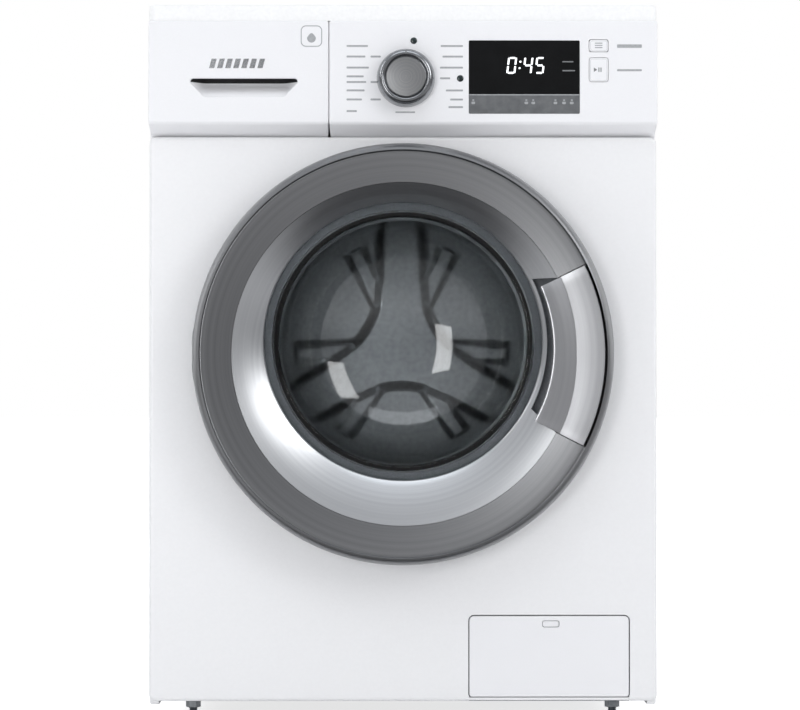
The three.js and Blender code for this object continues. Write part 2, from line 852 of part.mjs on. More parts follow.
function doorBackFrame() {
  const outer = doorRadius - 9;
  const seat = glassMouthRadius + 4;
  const postTopY = handlePivotY - handlePivotRadius - 1;
  const topPostZ = doorZ + Math.tan(radians(handleTopAngle)) * handlePivotX + postOffset;
  const bottomPostZ = doorZ - Math.tan(radians(handleBottomAngle)) * handlePivotX - postOffset;
  const posts = [topPostZ, bottomPostZ].map((z) =>
    box(handlePivotX - 3.2, handlePivotX + 3.2, postTopY, doorBackY, z - 2.2, z + 2.2));
  const hingeFront = hingeY - hingeEyeRadius - 2;
  const insideRing = turnedY([
    [0, hingeFront],
    [doorRadius - 6, hingeFront],
    [doorRadius - 6, doorBackY - 8],
    [outer, doorBackY],
    [0, doorBackY],
  ], 0, doorZ, fine);
  const hingeBlock = solid(box(hingeX - 12, hingeX + 10, hingeFront, doorBackY,
    doorZ - hingePinHalf, doorZ + hingePinHalf)).intersect(solid(insideRing));
  const cheek = hookHalfWidth + touch;
  const frame = join(
    rodY(outer, backFrameY, doorBackY, 0, doorZ, fine),
    rodY(glassFlangeRadius, glassFlangeBackY + touch, doorBackY, 0, axisZ, fine),
    ...posts,
    box(hookPivotX - 5, hookPivotX + 5, hookPivotY - 5, doorBackY, doorZ + cheek, doorZ + cheek + 4),
    box(hookPivotX - 5, hookPivotX + 5, hookPivotY - 5, doorBackY, doorZ - cheek - 4, doorZ - cheek),
  ).add(hingeBlock);
  return cut(
    frame,
    rodY(seat, doorFrontY, frontY, 0, axisZ, fine),
    box(hookPivotX - 9, hookPivotX + 11, backFrameY - 1, doorBackY + 1,
      doorZ - hookHalfWidth, doorZ + hookHalfWidth),
    rodZ(handlePivotRadius + touch, bottomPostZ - 6, topPostZ + 6, handlePivotX, handlePivotY, coarse),
    rodZ(2.2 + touch, doorZ - cheek - 6, doorZ + cheek + 6, hookPivotX, hookPivotY, coarse),
    rodZ(hingePinRadius + pinClearance, doorZ - hingePinHalf - 1, doorZ + hingePinHalf + 1,
      hingeX, hingeY, coarse),
    ...hingeNotches(),
  );
}

function doorHingePin() {
  return solid(rodZ(hingePinRadius, doorZ - hingePinHalf, doorZ + hingePinHalf, hingeX, hingeY, coarse));
}

function doorHingeBracket() {
  const plateFront = frontY - 3;
  const plateBack = frontY - touch;
  const lugs = [-1, 1].map((side) => {
    const z = doorZ + side * hingeLugOffset;
    const half = hingeLugThickness / 2;
    const outline = new THREE.Shape();
    outline.moveTo(hingeX + 3, plateBack - 0.5);
    outline.lineTo(hingeX - hingeEyeRadius, hingeY);
    outline.absarc(hingeX, hingeY, hingeEyeRadius, Math.PI, 1.9 * Math.PI, false);
    outline.lineTo(hingeX + 18, plateBack - 0.5);
    return extrudeZ(outline, z - half, z + half, 6);
  });
  return cut(
    join(box(hingeX + 3, hingeX + 28, plateFront, plateBack, doorZ - 55, doorZ + 55), ...lugs),
    rodZ(hingePinRadius + pinClearance, doorZ - 60, doorZ + 60, hingeX, hingeY, coarse),
  );
}

function doorHandle() {
  const frontFace = doorFrontY + 1.5;
  const stepY = frontFace + handleEdgeStep;
  const topZ = doorZ + Math.tan(radians(handleTopAngle)) * handlePivotX;
  const bottomZ = doorZ - Math.tan(radians(handleBottomAngle)) * handlePivotX;
  return join(
    extrudeY(handleSector(handleOuterRadius, handleInnerRadius, -touch), stepY, handleBackY, 10),
    extrudeY(handleSector(handleOuterRadius - 1.2, handleInnerRadius + 1, -touch - 0.5),
      frontFace, stepY + 0.5, 10),
    rodZ(handlePivotRadius, topZ - 10, topZ + 7.5, handlePivotX, handlePivotY, 8),
    rodZ(handlePivotRadius, bottomZ - 7.5, bottomZ + 10, handlePivotX, handlePivotY, 8),
  );
}

function latchHook() {
  const left = hookPivotX - hookArm / 2;
  const right = hookPivotX + hookArm / 2;
  const z0 = doorZ - hookHalfWidth + 2;
  const z1 = doorZ + hookHalfWidth - 2;
  return join(
    rodZ(hookBarrelRadius, doorZ - hookHalfWidth, doorZ + hookHalfWidth, hookPivotX, hookPivotY, coarse),
    rodZ(2.2, doorZ - hookHalfWidth - 4, doorZ + hookHalfWidth + 4, hookPivotX, hookPivotY, coarse),
    box(left, right, hookPivotY, hookTipY, z0, z1),
    box(left, right + hookBarb, hookTipY - hookBarbDepth, hookTipY, z0, z1),
  );
}

function doorLock() {
  const x0 = hookPivotX - hookArm / 2 - 7.5;
  const x1 = hookPivotX + hookArm / 2 + hookBarb + 2;
  const y0 = panelBackY + touch;
  const catchY = hookTipY - hookBarbDepth - catchGap;
  const backY = hookTipY + 3;
  const z0 = doorZ - hookHalfWidth - 2;
  const z1 = doorZ + hookHalfWidth + 2;
  return cut(
    solid(box(x0 - lockWall, x1 + lockWall, y0, backY + lockWall, z0 - 10, z1 + 10)),
    box(x0, hookPivotX + hookArm / 2 + 1.2, y0 - 1, catchY + 1, z0, z1),
    box(x0, x1, catchY, backY, z0, z1),
  );
}

// The seal is clamped on the panel's hole edge and folds back to the tub's neck.
function doorGasket() {
  const lipFront = frontY - 2.2;
  const grooveFront = frontY - touch;
  const grooveBack = panelBackY + touch;
  const lipBack = grooveBack + 4;
  const tail = tubFrontY - tubNeckLength - touch;
  const fold = (lipBack + tail) / 2;
  const lipOuter = panelHoleRadius + 5;
  const root = panelHoleRadius - touch;
  return solid(turnedY([
    [sealMouthRadius, lipFront + 1],
    [sealMouthRadius + sealLip, lipFront],
    [lipOuter, lipFront],
    [lipOuter, grooveFront],
    [root, grooveFront],
    [root, grooveBack],
    [lipOuter, grooveBack],
    [lipOuter, lipBack],
    [sealMouthRadius + 9 + sealWall, lipBack + 3],
    [sealMouthRadius + 20, fold],
    [tubNeckRadius + tubWall, tail - 2],
    [tubNeckRadius + tubWall, tail],
    [tubNeckRadius, tail],
    [tubNeckRadius, tail - 4],
    [sealMouthRadius + 16, fold],
    [sealMouthRadius + sealLip, lipBack + 3],
    [sealMouthRadius, grooveBack],
  ], 0, axisZ, fine));
}

// ---- Tub and drum ----
function tubFront() {
  const outer = tubRadius;
  const inner = tubRadius - tubWall;
  const back = tubSplitY;
  const shell = join(
    turnedY([
      [tubNeckRadius, tubFrontY - tubNeckLength],
      [tubNeckRadius + tubWall, tubFrontY - tubNeckLength],
      [tubNeckRadius + tubWall, tubFrontY],
      [outer - 6, tubFrontY],
      [outer, tubFrontY + 6],
      [outer, back - 6],
      [outer + tubFlange, back - 6],
      [outer + tubFlange, back],
      [inner, back],
      [inner, tubFrontY + tubWall + 5],
      [inner - 5, tubFrontY + tubWall],
      [tubNeckRadius, tubFrontY + tubWall],
    ], 0, axisZ, medium),
    box(-sumpHalfWidth, sumpHalfWidth, sumpFrontY, sumpFrontY + sumpLength,
      sumpBottomZ, axisZ - inner + 12),
    rodZ(sumpNeckRadius, sumpBottomZ - sumpNeckLength, sumpBottomZ + 1, 0, sumpMidY, coarse),
  );
  const heaterHoles = [-1, 1].map((side) =>
    rodY(heaterRadius + touch, tubFrontY - 1, tubFrontY + tubWall + 1,
      side * heaterHalfWidth, sumpBottomZ + 15, coarse));
  return cut(
    shell,
    rodY(inner - 1, tubFrontY + tubWall + 5, back - 1, 0, axisZ, medium),
    box(-sumpHalfWidth + tubWall, sumpHalfWidth - tubWall, sumpFrontY + tubWall,
      sumpFrontY + sumpLength - tubWall, sumpBottomZ + tubWall, axisZ - inner + 20),
    rodZ(sumpNeckRadius - 3, sumpBottomZ - sumpNeckLength - 1, sumpBottomZ + tubWall + 1,
      0, sumpMidY, coarse),
    ...heaterHoles,
  );
}

function tubRear() {
  const outer = tubRadius;
  const inner = tubRadius - tubWall;
  const front = tubSplitY + touch;
  const bore = bearingRadius + touch;
  const wallY = tubRearY - tubWall;
  const cupTopZ = neckBottomZ + 18;
  const cupBottomZ = axisZ + Math.sqrt(outer ** 2 - (neckX - neckRadius - 7) ** 2) - 2;
  const lugs = [-1, 1].map((side) =>
    sideBox(side, Math.sqrt(outer ** 2 - lugHeight ** 2) - 4, springX + springRadius + 4,
      springY - springRadius, springY + springRadius, lugZ - lugThickness, lugZ));
  const cup = cut(
    solid(rodZ(neckRadius + 6.5, cupBottomZ, cupTopZ, neckX, neckY, coarse)),
    rodY(inner + 1, tubSplitY, wallY, 0, axisZ, medium),
  );
  const shell = join(
    turnedY([
      [bore, hubFrontY],
      [hubRadius, hubFrontY],
      [hubRadius, wallY],
      [inner - 4, wallY],
      [inner, wallY - 4],
      [inner, front],
      [outer + tubFlange, front],
      [outer + tubFlange, front + 6],
      [outer, front + 6],
      [outer, tubRearY - 6],
      [outer - 6, tubRearY],
      [hubRadius, tubRearY],
      [hubRadius, hubRearY],
      [bore, hubRearY],
    ], 0, axisZ, medium),
    ...lugs,
  ).add(cup);
  return cut(shell, rodZ(neckRadius + 2.5, cupBottomZ - 12, cupTopZ + 1, neckX, neckY, coarse));
}

function drumShell() {
  const inner = drumRadius - drumWall;
  const shoulder = drumRadius - drumShoulder;
  return solid(turnedY([
    [drumMouthRadius, drumFrontY + 8],
    [drumMouthRadius, drumFrontY],
    [shoulder, drumFrontY],
    [drumRadius, drumFrontY + drumShoulder],
    [drumRadius, drumRearY - drumWall - touch],
    [inner, drumRearY - drumWall - touch],
    [inner, drumFrontY + drumShoulder + 0.6],
    [shoulder - 0.6, drumFrontY + drumWall],
    [drumMouthRadius + drumWall, drumFrontY + drumWall],
    [drumMouthRadius + drumWall, drumFrontY + 8],
  ], 0, axisZ, fine));
}

// A radial bar lying in a plane across the drum's axis, pointing the way of the angle.
function radialBar(angle, length, width, y0, y1) {
  const bar = new THREE.BoxGeometry(length, y1 - y0, width);
  bar.translate(length / 2, 0, 0);
  bar.rotateY(-radians(angle));
  bar.translate(0, (y0 + y1) / 2, axisZ);
  return bar;
}

function armAngles() {
  return [0, 1, 2].map((arm) => 90 + arm * 360 / lifterCount);
}

function drumBack() {
  const front = drumRearY - drumWall;
  const ribs = armAngles().map((angle) =>
    radialBar(angle, drumRadius * 0.8, embossWidth, front - embossHeight, front + drumWall / 2));
  return join(
    rodY(drumRadius, front, drumRearY, 0, axisZ, fine),
    rodY(embossWidth, front - embossHeight, front + drumWall / 2, 0, axisZ, medium),
    ...ribs,
  );
}

function drumSpider() {
  const front = drumRearY + touch;
  const arms = armAngles().map((angle) =>
    radialBar(angle, drumRadius - 8, spiderArmWidth, front, front + spiderArmThickness));
  return join(
    rodY(spiderHubRadius, front, hubFrontY - 3, 0, axisZ, medium),
    rodY(shaftRadius, front, pulleyRearY + 6, 0, axisZ, coarse),
    ...arms,
  );
}

function drumLifter(index) {
  const angle = -90 + index * 360 / lifterCount;
  const foot = drumRadius - drumWall - 1.6;
  const outline = new THREE.Shape();
  outline.moveTo(-lifterWidth / 2, foot - 2);
  outline.lineTo(-lifterWidth / 2, foot - 6);
  outline.quadraticCurveTo(-8, foot - 14, -7, foot - lifterHeight + 7);
  outline.absarc(0, foot - lifterHeight + 7, 7, Math.PI, 2 * Math.PI, false);
  outline.quadraticCurveTo(8, foot - 14, lifterWidth / 2, foot - 6);
  outline.lineTo(lifterWidth / 2, foot - 2);
  const bar = extrudeY(outline, drumFrontY + lifterMargin, drumRearY - lifterMargin - embossHeight, 4);
  bar.rotateY(radians(90 - angle));
  bar.translate(0, 0, axisZ);
  return solid(bar);
}

function drumBearing(y0) {
  return solid(turnedY([
    [shaftRadius + touch, y0],
    [bearingRadius, y0],
    [bearingRadius, y0 + bearingWidth],
    [shaftRadius + touch, y0 + bearingWidth],
  ], 0, axisZ, medium));
}

function drumPulley() {
  const webFront = pulleyFrontY + 6;
  const webRear = pulleyFrontY + 9;
  const bore = shaftRadius + touch;
  return solid(turnedY([
    [bore, pulleyFrontY],
    [25, pulleyFrontY],
    [25, webFront],
    [pulleyRadius - 6, webFront],
    [pulleyRadius - 6, pulleyFrontY],
    [pulleyRadius, pulleyFrontY],
    [pulleyRadius, pulleyRearY],
    [pulleyRadius - 6, pulleyRearY],
    [pulleyRadius - 6, webRear],
    [25, webRear],
    [25, pulleyRearY],
    [bore, pulleyRearY],
  ], 0, axisZ, medium));
}

function motorPulley() {
  return solid(turnedY([
    [0, motorRearY - 28],
    [motorShaftRadius, motorRearY - 28],
    [motorShaftRadius, pulleyFrontY],
    [motorPulleyRadius, pulleyFrontY],
    [motorPulleyRadius, pulleyRearY],
    [0, pulleyRearY],
  ], 0, motorZ, coarse));
}

// The line that wraps both pulleys, as an outline or as a hole.
function beltLine(target, grow) {
  const big = pulleyRadius + grow;
  const small = motorPulleyRadius + grow;
  const lean = Math.asin((big - small) / (axisZ - motorZ));
  target.absarc(0, axisZ, big, -lean, Math.PI + lean, false);
  target.absarc(0, motorZ, small, Math.PI + lean, 2 * Math.PI - lean, false);
  return target;
}

function driveBelt() {
  const outline = beltLine(new THREE.Shape(), beltGap + beltThickness);
  outline.holes.push(beltLine(new THREE.Path(), beltGap));
  return solid(extrudeY(outline, pulleyFrontY + 2, pulleyRearY - 2, medium));
}

function motorBody() {
  const front = motorRearY - motorLength;
  const body = join(
    turnedY([
      [0, front],
      [motorRadius - 14, front],
      [motorRadius - 10, front + 8],
      [motorRadius, front + 12],
      [motorRadius, motorRearY - 12],
      [motorRadius - 10, motorRearY - 8],
      [motorRadius - 14, motorRearY],
      [0, motorRearY],
    ], 0, motorZ, medium),
    box(-30, 30, front + 30, front + 50, motorZ, motorZ + motorRadius + motorClearance - touch - 1),
  );
  return cut(body, rodY(motorShaftRadius + motorShaftClearance, motorRearY - 30, motorRearY + 1, 0, motorZ, coarse));
}

function counterweightTop() {
  const inner = tubRadius + tubFlange + 2;
  const x0 = -85;
  const x1 = 165;
  const y0 = tubSplitY - 50;
  const y1 = tubSplitY + 70;
  const top = axisZ + tubRadius + 60;
  return cut(
    solid(box(x0, x1, y0, y1, axisZ + Math.sqrt(inner ** 2 - x1 ** 2) + 8, top)),
    rodY(inner, y0 - 1, y1 + 1, 0, axisZ, fine),
  );
}

function counterweightFront() {
  const open = radians(42);
  const shape = new THREE.Shape();
  shape.absarc(0, axisZ, tubRadius - 15, open, 2 * Math.PI - open, false);
  shape.absarc(0, axisZ, tubNeckRadius + 27, 2 * Math.PI - open, open, true);
  return solid(extrudeY(shape, panelBackY + 13, tubFrontY - touch - 2, medium));
}

function heater() {
  const z = sumpBottomZ + 15;
  const end = sumpFrontY + sumpLength - tubWall - 12;
  const route = [
    [-heaterHalfWidth, tubFrontY - 4, z],
    [-heaterHalfWidth, sumpMidY, z],
    [-heaterHalfWidth, end - 25, z],
    [0, end, z],
    [heaterHalfWidth, end - 25, z],
    [heaterHalfWidth, sumpMidY, z],
    [heaterHalfWidth, tubFrontY - 4, z],
  ];
  return join(
    tube(route, heaterRadius, 3, 24),
    box(-heaterHalfWidth - 12, heaterHalfWidth + 12, tubFrontY - 6, tubFrontY - touch, z - 11, z + 11),
  );
}

// ---- Suspension ----
function suspensionSpring(side) {
  const bottom = lugZ + touch + springWire;
  const top = hangerZ - touch - springWire;
  const route = [];
  const steps = springTurns * 6;
  for (let step = 0; step <= steps; step += 1) {
    const angle = step / 6 * 2 * Math.PI;
    const along = step / steps;
    route.push([
      side * springX + springRadius * Math.cos(angle),
      springY + springRadius * Math.sin(angle),
      bottom + (top - bottom) * along,
    ]);
  }
  return solid(tube(route, springWire, 2, springTurns * 6));
}

function tubUndersideZ(x) {
  return axisZ - Math.sqrt(tubRadius ** 2 - x ** 2);
}

function damperCylinder(side) {
  const bottom = panBottomZ + panWall + touch;
  const top = bottom + damperHeight;
  const bore = damperRodRadius + damperBoreClearance;
  return solid(turnedZ([
    [0, bottom],
    [damperRadius, bottom],
    [damperRadius, top],
    [bore, top],
    [bore, top - damperEngagement - 20],
    [0, top - damperEngagement - 20],
  ], side * damperX, 0, coarse));
}

function damperRod(side) {
  const cylinderTop = panBottomZ + panWall + touch + damperHeight;
  const head = 16;
  const top = tubUndersideZ(damperX - head / 2) - 2;
  return join(
    rodZ(damperRodRadius, cylinderTop - damperEngagement, top - 1, side * damperX, 0, coarse),
    box(side * damperX - head / 2, side * damperX + head / 2, -8, 8, top - 14, top - touch),
  );
}

// ---- Water system ----
function drainPump() {
  const x0 = flapLeftX - flapGap;
  const x1 = flapRightX + flapGap;
  const z0 = flapBottomZ - flapGap;
  const z1 = flapTopZ + flapGap;
  const y0 = panelBackY + touch;
  const wall = surroundWall;
  const pivotY = frontY + flapPivotDepth;
  const pivotZ = flapBottomZ + flapPivotRise;
  const body = join(
    box(x0 - wall, x1 + wall, y0, surroundBackY, z0 - wall, z1 + wall),
    rodY(filterRadius, surroundBackY - 1, filterRearY + 1, flapCentreX, flapCentreZ, medium),
    rodY(pumpRadius, filterRearY, pumpRearY, flapCentreX, flapCentreZ, medium),
    rodX(15, flapCentreX - pumpRadius - 18, flapCentreX, pumpMidY, flapCentreZ, coarse),
    rodZ(hoseRadius - 2, flapCentreZ, flapCentreZ + pumpRadius + 12, flapCentreX + 12, pumpMidY, coarse),
  );
  return cut(
    body,
    box(x0, x1, y0 - 1, surroundBackY - wall, z0, z1),
    rodY(filterRadius - filterWall, surroundBackY - wall - 1, filterRearY - filterWall,
      flapCentreX, flapCentreZ, medium),
    rodX(flapPivotRadius + touch, x0 - wall - 1, x1 + wall + 1, pivotY, pivotZ, coarse),
  );
}

function filterFlap() {
  const pivotY = frontY + flapPivotDepth;
  const pivotZ = flapBottomZ + flapPivotRise;
  const back = frontY + flapThickness;
  const outline = roundedRectangle(flapLeftX, flapRightX, flapBottomZ, flapTopZ, flapCorner);
  const lugs = [-1, 1].flatMap((side) => {
    const edge = flapCentreX + side * flapWidth / 2;
    const near = Math.min(edge - side * 3, edge - side * 7);
    const end = Math.min(edge - side * 7, edge + side * 2.6);
    return [
      box(near, near + 4, back - 0.5, pivotY + 2.5, pivotZ - 3.5, pivotZ + 4),
      rodX(flapPivotRadius, end, end + 9.6, pivotY, pivotZ, coarse),
    ];
  });
  const tabBottom = flapTopZ - flapTabDrop - flapTabHeight;
  return cut(
    join(extrudeY(outline, frontY, back, 4), ...lugs),
    box(flapCentreX - flapTabWidth / 2, flapCentreX + flapTabWidth / 2, frontY - 1, frontY + 1.2,
      tabBottom, tabBottom + flapTabHeight),
  );
}

function filterCap() {
  const seatY = surroundBackY - surroundWall - touch;
  const front = seatY - filterCapDepth;
  return join(
    turnedY([
      [0, seatY - 10],
      [filterCapRadius, seatY - 10],
      [filterCapRadius, seatY],
      [filterRadius - filterWall - 1, seatY],
      [filterRadius - filterWall - 1, seatY + filterLength * 0.7],
      [0, seatY + filterLength * 0.7],
    ], flapCentreX, flapCentreZ, medium),
    box(flapCentreX - filterCapRadius + 4, flapCentreX + filterCapRadius - 4, front, seatY - 9,
      flapCentreZ - 4, flapCentreZ + 4),
  );
}

function sumpHose() {
  const start = sumpBottomZ - sumpNeckLength - touch;
  const end = flapCentreX - pumpRadius - 18 - touch;
  return solid(tube([
    [0, sumpMidY, start],
    [0, sumpMidY, start - 12],
    [12, sumpMidY - 2, start - 40],
    [end - 42, pumpMidY, flapCentreZ + 4],
    [end - 12, pumpMidY, flapCentreZ],
    [end, pumpMidY, flapCentreZ],
  ], 15, 4, 14));
}

function drainHose() {
  const wallX = halfWidth - sheet - hoseRadius - 7;
  const startX = flapCentreX + 12;
  const startZ = flapCentreZ + pumpRadius + 12 + touch;
  const drainZ = worktopZ - drainDrop;
  const endY = rearY - 24;
  return join(
    tube([
      [startX, pumpMidY, startZ],
      [startX, pumpMidY, startZ + 10],
      [wallX - 12, pumpMidY + 2, startZ + 90],
      [wallX, pumpMidY + 30, startZ + 180],
      [wallX, 60, axisZ],
      [wallX, 160, drainZ - 120],
      [connectionX + 4, rearY - 52, drainZ - 14],
      [connectionX, endY, drainZ],
    ], hoseRadius, 4, 28),
    rodY(inletRadius, endY - 2, overallDepth / 2, connectionX, drainZ, coarse),
  );
}

function inletValve() {
  const z = worktopZ - inletDrop;
  const back = rearY - sheet - 1;
  const front = back - 38;
  const spoutX = trayCentreX + trayWidth / 2 + housingClearance + housingWall + touch;
  return join(
    box(connectionX - 24, connectionX + 24, front, back, z - 18, z + 18),
    rodY(inletRadius, back - 1, overallDepth / 2, connectionX, z, coarse),
    tube([
      [connectionX - 12, front + 4, z],
      [connectionX - 14, front - 16, z],
      [connectionX / 2, front - 110, z + 4],
      [spoutX + 70, trayRearY - 40, z],
      [spoutX + 20, trayRearY - 50, z - 2],
      [spoutX, trayRearY - 50, z - 2],
    ], 7, 3, 18),
  );
}

function cordGland() {
  const inner = rearY - sheet;
  return solid(turnedY([
    [4, inner - 7],
    [12, inner - 7],
    [12, inner - touch],
    [8.6, inner - touch],
    [8.6, rearY + touch],
    [12, rearY + touch],
    [9, rearY + 11],
    [4, rearY + 11],
  ], glandX, worktopZ - glandDrop, coarse));
}

// ---- Assembly ----
place(cabinet, 'side_panel_left', sidePanel(-1), whiteEnamel);
place(cabinet, 'side_panel_right', sidePanel(1), whiteEnamel);
place(cabinet, 'front_panel', frontPanel(), whiteEnamel);
place(cabinet, 'rear_panel', rearPanel(), zincSteel);
place(cabinet, 'rear_service_cover', rearServiceCover(), zincSteel);
place(cabinet, 'base_frame', baseFrame(), zincSteel);
place(cabinet, 'worktop', worktop(), whitePlastic);
['front_left', 'front_right', 'rear_left', 'rear_right'].forEach((corner, index) => {
  place(cabinet, `foot_${corner}`, foot(footPlaces()[index]), blackRubber);
});

place(controls, 'control_fascia', controlFascia(), whitePlastic);
place(controls, 'display_window', displayWindow(), blackGloss);
place(controls, 'programme_knob', programmeKnob(), spunSilver);
place(controls, 'start_button', button(buttonX, startZ, startButtonHeight), whitePlastic);
place(controls, 'options_button', button(buttonX, optionsZ, optionsButtonHeight), whitePlastic);
place(controls, 'control_board_case', controlBoardCase(), greyPlastic);
place(controls, 'drawer_front', drawerFront(), whitePlastic);
place(controls, 'drawer_tray', drawerTray(), whitePlastic);
place(controls, 'dispenser_housing', dispenserHousing(), greyPlastic);

place(door, 'door_outer_ring', doorOuterRing(), gunmetal);
place(door, 'door_inner_ring', doorInnerRing(), silverPlating);
place(door, 'door_glass', doorGlass(), clearGlass);
place(door, 'door_back_frame', doorBackFrame(), greyPlastic);
place(door, 'door_hinge_pin', doorHingePin(), stainless);
place(door, 'door_hinge_bracket', doorHingeBracket(), castAluminium);
place(door, 'door_handle', doorHandle(), handleGrey);
place(door, 'latch_hook', latchHook(), zincSteel);
place(door, 'door_lock', doorLock(), blackPlastic);
place(door, 'door_gasket', doorGasket(), greyRubber);

place(washGroup, 'tub_front', tubFront(), tubPolymer);
place(washGroup, 'tub_rear', tubRear(), tubPolymer);
place(washGroup, 'drum_shell', drumShell(), stainless);
place(washGroup, 'drum_back', drumBack(), stainless);
place(washGroup, 'drum_spider', drumSpider(), castAluminium);
for (let index = 0; index < lifterCount; index += 1) {
  place(washGroup, `drum_lifter_${index + 1}`, drumLifter(index), greyPlastic);
}
place(washGroup, 'drum_bearing_front', drumBearing(hubFrontY + 2), stainless);
place(washGroup, 'drum_bearing_rear', drumBearing(hubFrontY + 2 + bearingSpacing), stainless);
place(washGroup, 'drum_pulley', drumPulley(), castAluminium);
place(washGroup, 'motor_pulley', motorPulley(), zincSteel);
place(washGroup, 'motor_body', motorBody(), zincSteel);
place(washGroup, 'drive_belt', driveBelt(), blackRubber);
place(washGroup, 'counterweight_top', counterweightTop(), concrete);
place(washGroup, 'counterweight_front', counterweightFront(), concrete);
place(washGroup, 'heater', heater(), stainless);
[['left', -1], ['right', 1]].forEach(([name, side]) => {
  place(washGroup, `suspension_spring_${name}`, suspensionSpring(side), springSteel);
  place(washGroup, `damper_cylinder_${name}`, damperCylinder(side), blackPlastic);
  place(washGroup, `damper_rod_${name}`, damperRod(side), zincSteel);
});

place(water, 'drain_pump', drainPump(), greyPlastic);
place(water, 'filter_flap', filterFlap(), whitePlastic);
place(water, 'filter_cap', filterCap(), greyPlastic);
place(water, 'sump_hose', sumpHose(), blackRubber);
place(water, 'drain_hose', drainHose(), greyPlastic);
place(water, 'inlet_valve', inletValve(), whitePlastic);
place(water, 'cord_gland', cordGland(), blackPlastic);

export default machine;
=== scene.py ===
"""Looks of the front load washing machine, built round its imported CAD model."""

import math

import bmesh
import bpy
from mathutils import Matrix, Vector


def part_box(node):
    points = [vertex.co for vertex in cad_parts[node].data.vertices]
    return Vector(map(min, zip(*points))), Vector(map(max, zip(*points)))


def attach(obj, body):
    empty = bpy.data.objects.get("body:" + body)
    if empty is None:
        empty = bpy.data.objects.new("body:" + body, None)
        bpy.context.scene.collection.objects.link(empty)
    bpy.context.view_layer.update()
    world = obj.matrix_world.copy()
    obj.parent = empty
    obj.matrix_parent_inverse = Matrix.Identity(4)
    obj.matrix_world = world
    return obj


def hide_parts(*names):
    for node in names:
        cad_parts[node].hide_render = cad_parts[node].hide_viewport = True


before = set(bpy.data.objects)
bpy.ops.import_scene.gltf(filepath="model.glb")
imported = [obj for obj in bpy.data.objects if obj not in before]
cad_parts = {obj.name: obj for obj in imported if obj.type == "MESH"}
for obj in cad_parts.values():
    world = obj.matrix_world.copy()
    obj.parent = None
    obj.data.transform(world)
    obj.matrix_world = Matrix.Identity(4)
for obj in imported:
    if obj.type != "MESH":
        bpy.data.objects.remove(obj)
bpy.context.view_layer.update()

# All sizes below are millimetres in the CAD model's frame, and MM turns them to metres.
MM = 0.001


def corners(node):
    """A CAD node's lowest and highest corners at rest, in mm."""
    low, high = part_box(node)
    return [round(c / MM, 3) for c in low], [round(c / MM, 3) for c in high]


def face(node):
    """A CAD node's left, bottom, right and top, seen from the front, in mm."""
    low, high = corners(node)
    return low[0], low[2], high[0], high[2]


def middle(first, second):
    """Halfway between two values."""
    return round((first + second) / 2, 3)


# Cabinet. The places of its pieces are the CAD nodes' own.
_, FOOT_HEIGHT, HALF_WIDTH, PANEL_TOP = face("front_panel")
FASCIA_LEFT, FASCIA_BOTTOM, _, CABINET_TOP = face("control_fascia")
DRAWER_RIGHT = face("drawer_front")[2]
WORKTOP_TOP = face("worktop")[3]
FRONT_Y = corners("front_panel")[0][1]
FASCIA_Y = corners("control_fascia")[0][1]
REAR_Y = corners("rear_panel")[1][1]
FASCIA_FOLD = 710.9
SHEET = 1.2

# Door. The glass, drum and seal share one axis, a little above the ring's centre.
DOOR_Z = middle(face("door_outer_ring")[1], face("door_outer_ring")[3])
AXIS_Z = middle(face("drum_shell")[1], face("drum_shell")[3])
DOOR_BACK = corners("door_outer_ring")[1][1]
BAND_OUTER = 235.0
BAND_INNER = 199.0
BAND_INNER_Y = -292.0
FUNNEL_INNER = 163.5
FUNNEL_INNER_Y = -272.6
FUNNEL_RISE = 15
HANDLE_TOP = 26.0
HANDLE_BOTTOM = -27.0
HANDLE_OUTER = 233.8
HANDLE_INNER = 173.0
HANDLE_RISE = 7.0
HANDLE_CREASE = 203.0
POCKET_RADIUS = 166.0
DOOR_STEPS = 240
SEAT_FLOOR = -282.6
SEAT_BACK = -280.8
NOTCH_TURNS = (2.9, 6.1)
NOTCH_FRONT = -286.5
NOTCH_BACK = -288.0

# Drum.
DRUM_BACK = 95.5
DRUM_INSIDE = 235.4
MOUTH_RADIUS = 160.0
LIFTER_ANGLES = (-90.0, 30.0, 150.0)
ARM_ANGLES = (90.0, 210.0, 330.0)

# Flap, and the controls beside the drawer.
FLAP = face("filter_flap")
WINDOW = face("display_window")
START_KEY = face("start_button")
OPTIONS_KEY = face("options_button")
knob_left, knob_bottom, knob_right, knob_top = face("programme_knob")
KNOB = (middle(knob_left, knob_right), middle(knob_bottom, knob_top))


# ---------------------------------------------------------------- materials


def linear(code):
    """An sRGB hex colour as Blender's linear values."""
    parts = [int(code[at:at + 2], 16) / 255 for at in (1, 3, 5)]
    return [c / 12.92 if c <= 0.04045 else ((c + 0.055) / 1.055) ** 2.4 for c in parts] + [1.0]


def add(tree, kind, sockets=None, **settings):
    """Adds a shader node with its settings, and sets or links its sockets."""
    node = tree.nodes.new("ShaderNode" + kind)
    for name, value in settings.items():
        setattr(node, name, value)
    for name, value in (sockets or {}).items():
        if isinstance(value, bpy.types.NodeSocket):
            tree.links.new(value, node.inputs[name])
        else:
            node.inputs[name].default_value = value
    return node


